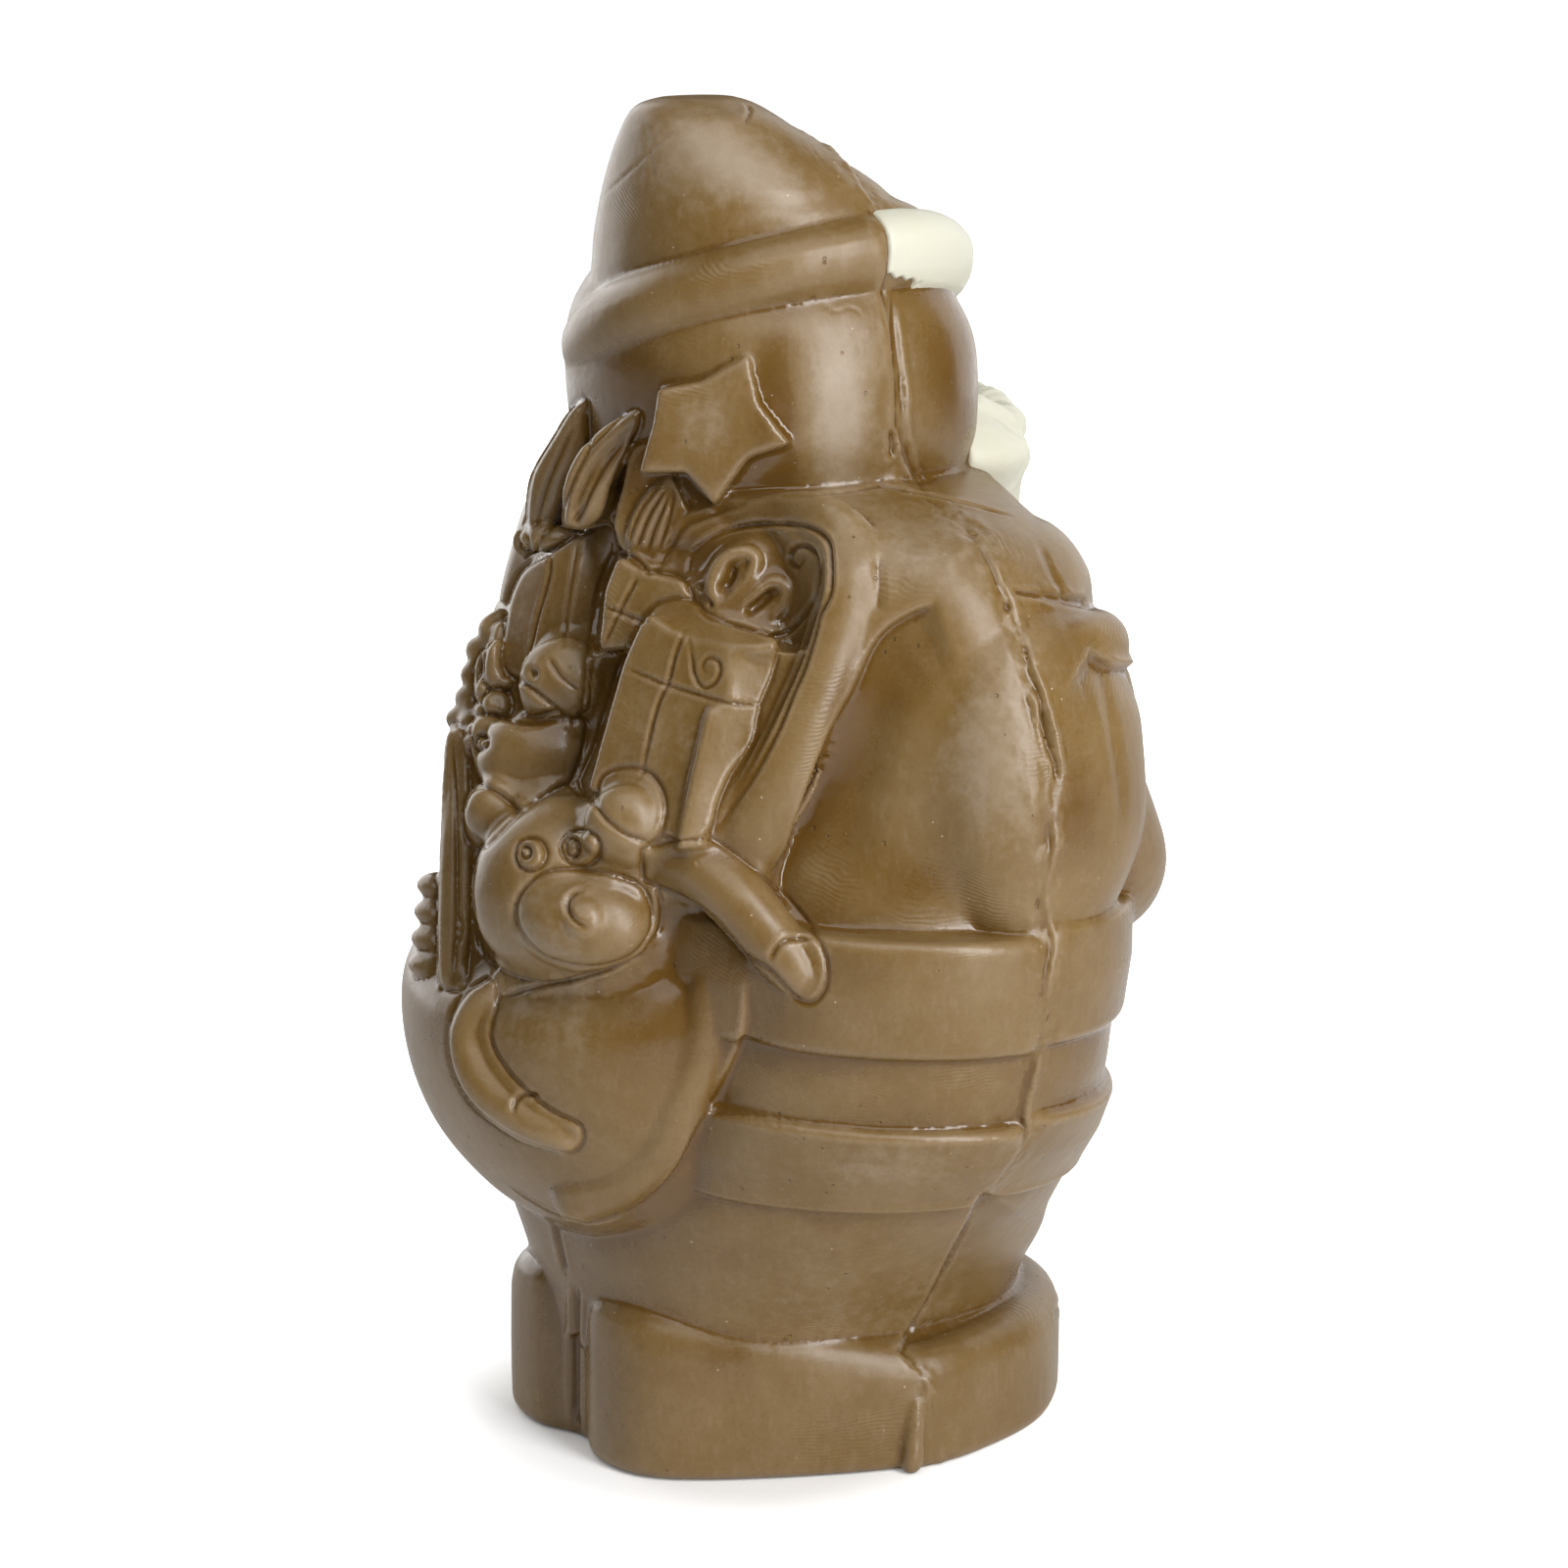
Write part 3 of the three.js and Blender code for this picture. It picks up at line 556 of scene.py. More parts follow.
# The rounded edge of the bag beside the belt: pixel, distance towards the camera and radius
BAG_EDGE_SEEN = [((728, 1000), 45.4, 3.6), ((715, 1066), 45.4, 4), ((692, 1130), 44.8, 4),
                 ((668, 1172), 43, 4), ((630, 1204), 40.4, 4), ((592, 1218), 38, 4)]


def sack(whole):
    """The bag with the rounded edge that stands out beside the belt."""
    loft(whole, [level(z, width, back, SACK_FRONT, y=y) for z, width, back, y in SACK], sides=96)
    seen_limb(whole, BAG_EDGE_SEEN)


# The rim where the photograph shows it: pixel, distance towards the camera and radius
RIM_SEEN = [((682, 583), 21.6, 1.8), ((704, 554), 24.2, 2.4), ((737, 534), 27.4, 2.6),
            ((772, 529), 30.6, 2.8), ((812, 525), 34, 3.2), ((846, 536), 38, 3.8), ((868, 562), 41.4, 4.2),
            ((873, 594), 43.8, 4.4), ((868, 627), 45.2, 4.3), ((858, 662), 46.3, 4.2),
            ((843, 702), 47.3, 4.2), ((824, 745), 48.1, 4.4), ((800, 793), 48.5, 4.8),
            ((770, 842), 48.1, 5.2), ((748, 876), 47, 5.2)]
# The plate that carries the toys behind the neck
PLATE_PX = [(634, 500), (650, 455), (700, 465), (745, 496), (768, 514), (730, 532), (700, 552), (674, 584),
            (652, 572), (634, 560), (626, 535)]
PLATE_PLACE = ((-11, 28.2, 137.6), 222, 4)


def rims(whole):
    """The rim of the sack on both sides, the ball that fills its mouth, and the plate behind the neck."""
    seen_limb(whole, RIM_SEEN, 0.5)
    limb(whole, [(x * 0.9, y - 1, z) for x, y, z in RIM], np.linspace(3.0, 5.0, len(RIM)), sides=28, flat=0.6)
    ball(whole, (-5, 13, 132.5), (21, 9.5, 16.5))
    pillow(whole, PLATE_PX, *PLATE_PLACE, depth=12, rise=0.5)


STAR_PX = [(764, 362), (776, 412), (807, 453), (764, 468), (729, 516), (700, 482), (652, 483), (667, 431),
           (672, 397), (715, 389)]
STAR_PLACE = ((-18.9, 25.4, 146.9), 230, 6)


def star(whole):
    """The star that leans against the neck."""
    pillow(whole, STAR_PX, *STAR_PLACE, depth=8, rise=0.5, wall=0.7, smooth=1)


# Two leaves behind the neck, a ring at the edge of the sack and a tuft of bristles under the star
LEAF_PLACE = ((8.5, 30, 137), 215, 0)
LEAF_PX = [(598, 407), (582, 417), (567, 441), (546, 476), (539, 501), (537, 541), (545, 568), (552, 548),
           (566, 535), (574, 519), (586, 487), (600, 458), (601, 430)]
LOOP_PLACE = ((-1.6, 32.9, 137.2), 215, 0)
LOOP_PX = [(651, 417), (637, 424), (619, 441), (601, 460), (587, 485), (578, 509), (574, 534), (584, 541),
           (597, 541), (612, 532), (620, 518), (625, 496), (634, 474), (645, 451), (654, 433)]
LOOP_BAND_PX = [(648, 424), (634, 434), (614, 452), (597, 474), (586, 500), (580, 532)]
LOOP_RIDGE_PX = [(640, 462), (626, 478), (612, 500), (603, 520), (599, 532)]
RING_PX = [(534, 541), (528, 548), (529, 560), (536, 567)]
BRISTLES_PX = [[(680, 490), (660, 510), (648, 532), (643, 552)],
               [(683, 490), (669, 514), (657, 538), (652, 557)],
               [(686, 490), (677, 514), (667, 540), (663, 561)],
               [(689, 491), (685, 514), (678, 540), (674, 562)],
               [(691, 492), (694, 512), (692, 534), (688, 554)]]
# Bars on them: pixels, plane and radii
LEAF_BARS = [
    (LOOP_BAND_PX, LOOP_PLACE, (0.8, 1.2, 1.5, 1.5, 1.4, 1.1)),
    (LOOP_RIDGE_PX, LOOP_PLACE, (0.6, 1.2, 1.5, 1.4, 0.8)),
    (RING_PX, ((11.5, 32.5, 128), 215, 0), 0.7),
    *[(strand, ((-11.6, 29, 136), 222, 4), (0.4, 0.7, 0.8, 0.6)) for strand in BRISTLES_PX],
]


def leaves(whole):
    """Both leaves with the bars on them, and two balls that join them to the sack."""
    pillow(whole, LEAF_PX, *LEAF_PLACE, depth=5, rise=2.6)
    pillow(whole, LOOP_PX, *LOOP_PLACE, depth=9, rise=0.7)
    for pixels, plane, radii in LEAF_BARS:
        limb(whole, on_plane(pixels, *plane), radii)
    ball(whole, (17.4, 24.6, 127.6), (2.2, 2.2, 4.5), 180)
    ball(whole, (9, 32.6, 129.5), (4.5, 2, 2.5), 215)


# Presents by the corners of their faces
LARGE_FRONT_PX = [(661, 625), (684, 640), (720, 655), (748, 661), (748, 717), (722, 722), (706, 790),
                  (690, 856), (598, 806), (634, 676), (650, 640)]
LARGE_SIDE_PX = [(748, 661), (770, 662), (793, 658), (787, 690), (776, 718), (768, 755), (745, 790),
                 (733, 824), (722, 864), (690, 866), (706, 790), (722, 722), (748, 717)]
LARGE_TOP_PX = [(661, 625), (673, 615), (703, 612), (733, 632), (793, 650), (793, 658), (770, 662),
                (748, 661), (720, 655), (684, 640)]
TALL_FRONT_PX = [(562, 563), (591, 544), (586, 585), (578, 630), (572, 700), (528, 690), (541, 660),
                 (548, 630)]
TALL_SIDE_PX = [(591, 544), (619, 535), (626, 553), (620, 577), (610, 603), (605, 630), (596, 700),
                (572, 700), (578, 630), (586, 585)]
TALL_BACK_PX = [(562, 563), (544, 572), (530, 585), (517, 618), (510, 690), (528, 690), (541, 660),
                (548, 630)]
SMALL_PX = [(630, 566), (658, 582), (700, 592), (702, 640), (652, 660), (610, 662), (616, 600)]
# Front face of each: pixels, plane, depth and bevel. Other faces: pixels, the corner of the front face that
# they start at, compass angle, lift, depth and bevel
PRESENTS = [
    (LARGE_FRONT_PX, ((-26.4, 38, 110.5), 209, 18), 9, 0.7,
     [(LARGE_SIDE_PX, 3, 246, 14, 9, 0.7), (LARGE_TOP_PX, 3, 218, 62, 6, 0.5)]),
    (TALL_FRONT_PX, ((3.8, 37.6, 119), 216, 16), 8, 0.5,
     [(TALL_SIDE_PX, 1, 256, 12, 7, 0.5), (TALL_BACK_PX, 0, 186, 16, 8, 0.5)]),
    (SMALL_PX, ((-15, 34.4, 124.5), 212, 20), 7, 0.6, []),
]
# The strapped book on the figure's left
BOOK_MIDDLE, BOOK_TURN = (25, 33.5, 110), (158, 18, 5)


def presents(whole):
    """The presents, each a plate for every face, and the book with its strap."""
    for front, plane, depth, bevel, others in PRESENTS:
        slab(whole, front, *plane, depth, bevel)
        for pixels, corner, *rest in others:
            slab(whole, pixels, on_plane([front[corner]], *plane)[0], *rest)
    block(whole, BOOK_MIDDLE, (14, 17, 13), *BOOK_TURN, edge=1.0)
    block(whole, BOOK_MIDDLE, (14.8, 2.2, 13), *BOOK_TURN, edge=0.5, grow=0.7)


# A swirl of ribbon on a round bed at the top of the sack
BOW_PLACE = ((-26.5, 25.6, 126.5), 228, 12)
BOW_LEFT_PX = [(726, 600), (731, 580), (745, 566), (762, 563), (771, 570), (767, 584), (758, 600), (742, 616),
               (731, 614)]
BOW_RIGHT_PX = [(744, 628), (762, 613), (781, 597), (795, 594), (802, 603), (798, 618), (784, 631),
                (767, 638), (751, 636)]
BOW_BED_PX = [(722, 640), (716, 595), (738, 560), (790, 546), (828, 550), (842, 575), (838, 615), (815, 648),
              (775, 655)]
# How far the loops lie above the bed
BOW_RISE = 1.7


def bow(whole):
    """The round bed and the two loops of ribbon on it."""
    at, azimuth, lift = BOW_PLACE
    bed = Vector(at) - turned(azimuth, lift) @ Vector((0, 0, BOW_RISE))
    pillow(whole, BOW_BED_PX, bed, azimuth, lift, depth=7, rise=0.9)
    for pixels in (BOW_LEFT_PX, BOW_RIGHT_PX):
        limb(whole, on_plane(pixels, *BOW_PLACE), 0.95, sides=16, closed=True)


# The bear's arms: pixel, distance towards the camera and radius
RIGHT_ARM_SEEN = [((652, 881), 42, 2.2), ((683, 884), 45, 3.1), ((716, 889), 47.6, 4.0),
                  ((745, 911), 49.6, 4.2), ((776, 945), 51.4, 4.1), ((800, 974), 52.8, 3.9),
                  ((813, 991), 53.4, 3.7)]
LEFT_ARM_SEEN = [((506, 1003), 36.6, 1.2), ((491, 1022), 35.6, 2.0), ((479, 1053), 35.4, 2.8),
                 ((484, 1084), 36.6, 3.3), ((502, 1113), 38.6, 3.4), ((535, 1140), 41.2, 3.2),
                 ((563, 1154), 42.8, 2.9), ((575, 1161), 43.4, 2.5)]
# Its head, muzzle, nose and ears: middle, half sizes, compass angle, lift and roll
BEAR_BALLS = [
    ((-13.4, 43.4, 85.4), (13.4, 12.9, 11.6), 232, 0, 0), ((-21, 45.6, 83.4), (10.2, 7, 7.6), 226, 0, -4),
    ((-25.6, 48.4, 84.6), (3.2, 3.2, 3), 232, 0, 0), ((-26.8, 42.8, 97.0), (5.5, 5.4, 3.6), 232, 0, 0),
    ((-0.8, 47.6, 94.6), (4.3, 4.3, 4), 232, 0, 0),
]


def bear_head(whole):
    """The bear's head with its muzzle, nose and ears."""
    for row in BEAR_BALLS:
        ball(whole, *row)


def bear_arms(whole):
    """The bear's arms over the edge of the sack."""
    seen_limb(whole, RIGHT_ARM_SEEN)
    seen_limb(whole, LEFT_ARM_SEEN)


FLUTE_PX = [(454, 746), (470, 742), (478, 770), (481, 860), (479, 950), (475, 1002), (462, 1008), (447, 998),
            (446, 900), (449, 800)]
# A ruffled strip at the left edge of the sack: pixel, distance towards the camera and radius
RUFFLE_SEEN = [((512, 628), 7, 1.2), ((498, 641), 8.4, 1.5), ((505, 653), 10, 1.5), ((485, 662), 7.6, 1.5),
               ((494, 676), 10, 1.4), ((479, 688), 8, 1.4), ((490, 702), 10.4, 1.4), ((473, 712), 8, 1.4),
               ((484, 724), 10.8, 1.4), ((463, 733), 8.4, 1.3), ((478, 744), 11.4, 1.4),
               ((466, 752), 10, 1.2)]
# A cylinder and its knob beside the strip, in the same form
CYLINDER_SEEN = [((507, 664), 13.4, 1.8), ((507, 698), 14, 1.9)]
KNOB_SEEN = [((507, 712), 14, 1.8), ((507, 724), 14.4, 1.9)]
# Row of beads: middle of the first, and the way to the next
BEADS, BEAD_FIRST, BEAD_STEP = 4, (16, 46.4, 80.2), (-1.9, 1.6, -3.2)
# The bar beside the flute and the leg above it: path and radius
TOY_BARS = [([(14.4, 42, 103), (9.8, 47, 90), (3.4, 52.2, 71)], 2.6),
            ([(12.6, 37.8, 116), (10, 41.2, 108.5)], 2)]
# A joint, a rounded toy, and a pony's head with its muzzle: middle, half sizes, compass angle and lift
TOY_BALLS = [
    ((9.6, 42.2, 106.2), (2.3, 2, 2), 200, 0), ((-2.6, 37.6, 111.8), (6.2, 6, 4.2), 222, 10),
    ((-0.6, 40.6, 100.8), (8, 6.6, 5), 226, 10), ((8.4, 43.4, 102.4), (3.4, 3.4, 2.4), 218, 0),
]


def small_toys(whole):
    """Everything small on the left of the photograph, and a ball on the figure's left."""
    for i in range(BEADS):
        ball(whole, [first + step * i for first, step in zip(BEAD_FIRST, BEAD_STEP)], (4.5, 2, 3), 200)
    slab(whole, FLUTE_PX, (8.8, 49.4, 88), 200, 18, 6, 0.6)
    for path, radius in TOY_BARS:
        limb(whole, path, radius)
    for row in TOY_BALLS:
        ball(whole, *row)
    for rows in (RUFFLE_SEEN, CYLINDER_SEEN, KNOB_SEEN):
        seen_limb(whole, rows)
    ball(whole, (26, 30, 95), (9, 9, 9), 150)


# Fusing and fine relief

# Pixels between two points of a line that is traced on the surface
LINE_STEP = 1.5
# Share of a line's depth that its edges rise by, and how far from it, in widths, they rise and it ends
LIP, LIP_AWAY, LINE_REACH = 0.3, 1.9, 3.4


class Relief:
    """The fused skin of a casting while its fine relief is worked, in millimetres."""

    def __init__(self, name, whole, cell):
        mesh = bpy.data.meshes.new(name)
        bmesh.ops.scale(whole, vec=(MM, MM, MM), verts=whole.verts[:])
        whole.to_mesh(mesh)
        whole.free()
        rough = bpy.data.objects.new(name, mesh)
        bpy.context.scene.collection.objects.link(rough)
        fuse = rough.modifiers.new("Fuse", "REMESH")
        fuse.mode, fuse.voxel_size, fuse.adaptivity = "VOXEL", cell * MM, 0.0
        fused = bpy.data.meshes.new_from_object(rough.evaluated_get(bpy.context.evaluated_depsgraph_get()))
        bpy.data.objects.remove(rough)
        bpy.data.meshes.remove(mesh)
        self.object = bpy.data.objects.new(name, fused)
        bpy.context.scene.collection.objects.link(self.object)
        self.mesh = fused
        count = len(fused.vertices)
        flat = np.empty(count * 3)
        fused.vertices.foreach_get("co", flat)
        self.co = flat.reshape(-1, 3) / MM
        pairs = np.empty(len(fused.edges) * 2, np.int64)
        fused.edges.foreach_get("vertices", pairs)
        self.pairs = pairs.reshape(-1, 2)

    def smoothed(self, values, times, share=1.0, among=None):
        """Values at the vertices, or among some of them, drawn towards the mean of their neighbours."""
        values = np.array(values, float)
        flat = values.reshape(len(values), -1)
        pairs = self.pairs
        among = np.arange(len(values)) if among is None else among
        number = np.full(len(values), -1)
        number[among] = np.arange(len(among))
        a, b = number[pairs[np.all(number[pairs] >= 0, axis=1)]].T
        degree = np.maximum(np.bincount(a, minlength=len(among)) + np.bincount(b, minlength=len(among)), 1)
        for column in range(flat.shape[1]):
            v = flat[among, column]
            for _ in range(times):
                total = np.bincount(a, v[b], len(v)) + np.bincount(b, v[a], len(v))
                v = v + share * (total / degree - v)
            flat[among, column] = v
        return values

    def store(self):
        """Writes the vertices back to the mesh."""
        self.mesh.vertices.foreach_set("co", (self.co * MM).ravel())
        self.mesh.update()
        bpy.context.view_layer.update()

    def normals(self):
        """The normals at the vertices, as they lie now."""
        self.store()
        flat = np.empty(len(self.co) * 3, np.float32)
        self.mesh.vertex_normals.foreach_get("vector", flat)
        return flat.reshape(-1, 3).astype(float)

    def cast(self, rays):
        """Where rays from outside, in millimetres, first meet the surface."""
        graph = bpy.context.evaluated_depsgraph_get()
        found = []
        for start, ray in rays:
            hit, point, _, _ = self.object.ray_cast(start * MM, ray, depsgraph=graph)
            if hit:
                found.append(point / MM)
        return np.array(found)

    def on_surface(self, pixels):
        """Points along a smooth line over pixels of the photograph, where they fall on the surface."""
        longest = np.abs(np.diff(np.array(pixels, float), axis=0)).max()
        return self.cast(view_ray(pixel) for pixel in spline(pixels, max(2, int(longest / LINE_STEP))))

    def on_front(self, points):
        """Points along a smooth line by x and z, where they fall on the front."""
        return self.cast((Vector((x, -100, z)), Vector((0, 1, 0))) for x, z in spline(points, 24))

    def near(self, points, reach):
        """The vertices within reach of a row of points, how far from it and how far along it they lie."""
        low, high = points.min(0) - reach, points.max(0) + reach
        index = np.flatnonzero(np.all((self.co > low) & (self.co < high), axis=1))
        away, along = np.full(len(index), np.inf), np.zeros(len(index))
        for i, point in enumerate(points):
            far = np.sum((self.co[index] - point) ** 2, axis=1)
            closer = far < away
            away[closer], along[closer] = far[closer], i / len(points)
        away = np.sqrt(away)
        return index[away < reach], away[away < reach], along[away < reach]

    def groove(self, points, width, depth, normals):
        """Presses a rounded line with fading ends into the surface, or raises it where depth is negative."""
        if len(points):
            index, away, along = self.near(points, LINE_REACH * width)
            press = np.exp(-((away / width) ** 2)) - LIP * np.exp(-((away / width - LIP_AWAY) ** 2))
            press *= 0.25 + 0.75 * ramp(np.minimum(along, 1 - along), 0, 0.2)
            self.co[index] -= normals[index] * (depth * press)[:, None]

    def patch(self, pixel, half, turn, normals):
        """A soft oval of the side that the photograph shows: 1 at a pixel and 0 away from it."""
        seen, depth = pixels_of(self.co)
        across, down = (seen - np.array(pixel)).T
        c, s = math.cos(math.radians(turn)), math.sin(math.radians(turn))
        away = ((across * c + down * s) / half[0]) ** 2 + ((down * c - across * s) / half[1]) ** 2
        facing = ramp(normals @ np.array(view_axes()[0]), 0.05, 0.35)
        return np.exp(-away) * facing * (away < 6)


def bedded(forms, reach, below, cell):
    """The forms with the gaps between them filled as a rolling ball leaves them, to below their faces."""
    whole = bmesh.new()
    for form in forms:
        form(whole)
    for offset in (reach, -reach - below):
        relief = Relief("bed", whole, cell)
        relief.co = relief.smoothed(relief.co, 4, 0.5)
        relief.co += relief.normals() * offset
        relief.store()
        whole = bmesh.new()
        whole.from_mesh(relief.mesh)
        bmesh.ops.scale(whole, vec=(1 / MM,) * 3, verts=whole.verts[:])
        bpy.data.objects.remove(relief.object)
        bpy.data.meshes.remove(relief.mesh)
    return whole


def add_values(mesh, name, values):
    """Stores one value for every vertex, for the material to read."""
    mesh.attributes.new(name, "FLOAT", "POINT").data.foreach_set("value", np.asarray(values, np.float32))


def thinned(piece, share):
    """Collapses a mesh to a share of its triangles and keeps the outcome as the piece's mesh."""
    thin = piece.modifiers.new("Thin", "DECIMATE")
    thin.ratio = share
    bpy.context.view_layer.update()
    mesh = bpy.data.meshes.new_from_object(piece.evaluated_get(bpy.context.evaluated_depsgraph_get()))
    piece.modifiers.clear()
    piece.data = mesh
    mesh.name = piece.name
    mesh.polygons.foreach_set("use_smooth", [True] * len(mesh.polygons))
    return piece


# Low relief by outline, from the back to the front: rise and rounding in millimetres, and pixels of the
# outline
OUTLINES = [
    # leaves
    (0.3, 1.2, LEAF_PX),
    (0.2, 1.0, LOOP_PX),
    # cylinder, its knob, a rounded toy, a pony's head and two small knobs
    (1.1, 1.2, [(484, 712), (484, 680), (492, 664), (498, 668), (498, 700), (494, 716)]),
    (1.5, 1.4, [(497, 700), (496, 668), (503, 655), (514, 651), (522, 662), (524, 690), (522, 704)]),
    (1.4, 1.4, [(492, 716), (498, 706), (512, 704), (521, 712), (521, 726), (510, 733), (496, 728)]),
    (0.8, 2.2, [(527, 692), (529, 668), (545, 657), (565, 655), (580, 664), (592, 670), (603, 664),
                (602, 700), (599, 724), (585, 729), (565, 725), (545, 731), (533, 724)]),
    (1.0, 2.2, [(483, 735), (500, 729), (526, 738), (545, 739), (577, 733), (596, 735), (597, 752),
                (591, 775), (580, 801), (553, 815), (530, 827), (512, 812), (493, 800), (484, 785),
                (480, 760)]),
    (0.8, 0.8, [(486, 757), (490, 751), (497, 753), (498, 761), (492, 765), (486, 763)]),
    (0.7, 0.7, [(473, 756), (477, 750), (482, 753), (481, 761), (476, 763)]),
    # flute with its groove
    (0.2, 0.8, [(454, 745), (470, 741), (478, 770), (481, 860), (480, 950), (476, 1004), (462, 1010),
                (447, 1000), (445, 900), (448, 800)]),
    # small, tall and large presents
    (0.1, 0.7, [(626, 569), (634, 564), (659, 581), (700, 592), (704, 640), (652, 662), (610, 664),
                (612, 620), (617, 594)]),
    (0.1, 0.6, [(517, 618), (530, 586), (544, 573), (562, 563), (591, 544), (618, 535), (625, 545),
                (626, 562), (618, 580), (610, 603), (606, 630), (600, 665), (596, 712), (585, 735),
                (540, 700), (512, 680)]),
    (0.1, 0.7, [(661, 624), (673, 614), (703, 611), (733, 632), (793, 650), (795, 660), (788, 691),
                (776, 720), (768, 757), (746, 792), (733, 824), (724, 850), (690, 858), (596, 812),
                (608, 760), (634, 676), (650, 639)]),
    # ears, head, muzzle and eyes of the bear
    (0.2, 1.0, [(489, 867), (474, 851), (472, 831), (479, 810), (493, 803), (512, 813), (527, 828),
                (516, 846)]),
    (0.2, 1.0, [(610, 803), (620, 788), (643, 783), (665, 791), (678, 814), (678, 839), (666, 860),
                (634, 855), (612, 835)]),
    (0.25, 1.2, [(489, 867), (499, 862), (524, 836), (552, 815), (579, 801), (591, 812), (604, 817),
                 (618, 836), (640, 852), (664, 862), (668, 885), (670, 905), (674, 922), (674, 944),
                 (662, 964), (652, 976), (620, 989), (597, 993), (573, 1001), (550, 1001), (528, 997),
                 (508, 987), (491, 966), (483, 925), (483, 894)]),
    (0.6, 2.4, [(640, 897), (621, 891), (605, 889), (574, 886), (552, 892), (536, 906), (527, 922),
                (528, 941), (538, 959), (552, 974), (573, 982), (599, 986), (620, 984), (645, 974),
                (662, 952), (664, 925), (655, 905)]),
    (0.9, 0.9, [(542, 856), (552, 860), (557, 872), (552, 884), (542, 888), (531, 884), (527, 872),
                (531, 860)]),
    (1.1, 1.1, [(593, 848), (606, 852), (612, 864), (608, 877), (594, 884), (580, 879), (573, 866),
                (579, 853)]),
    (0.9, 0.5, [(585, 856), (591, 860), (591, 870), (585, 875), (579, 870), (579, 860)]),
    (0.8, 0.5, [(537, 864), (541, 867), (541, 873), (537, 876), (533, 873), (533, 867)]),
    # arms of the bear
    (0.2, 1.2, [(655, 882), (656, 867), (670, 863), (691, 858), (725, 857), (745, 868), (764, 883),
                (795, 909), (826, 945), (842, 977), (843, 1004), (831, 1022), (811, 1018), (785, 989),
                (759, 973), (733, 942), (707, 921), (676, 906), (657, 898)]),
    (0.25, 1.1, [(504, 998), (488, 1004), (472, 1015), (457, 1050), (460, 1088), (478, 1124), (504, 1146),
                 (530, 1162), (560, 1173), (582, 1177), (594, 1166), (591, 1148), (561, 1133), (531, 1108),
                 (510, 1082), (500, 1056), (508, 1019)]),
]
# The smear on the boots and the soft fold of the sleeve, which have no crease round them, in the same form
FOLDS = [
    (0.5, 3.6, [(912, 1452), (930, 1412), (950, 1392), (966, 1410), (964, 1450), (976, 1480), (960, 1500),
                (918, 1510)]),
    (1.1, 5.0, [(1048, 530), (1060, 566), (1074, 600), (1092, 616), (1150, 621), (1140, 560), (1080, 505)]),
]
CREASE_DEPTH, CREASE_WIDTH = 0.5, 0.34
# Pixels round all outlines within which the surface is looked at, and millimetres at which an outline counts
# as out of reach
OUTLINE_MARGIN, OUT_OF_REACH = 20, 99.0
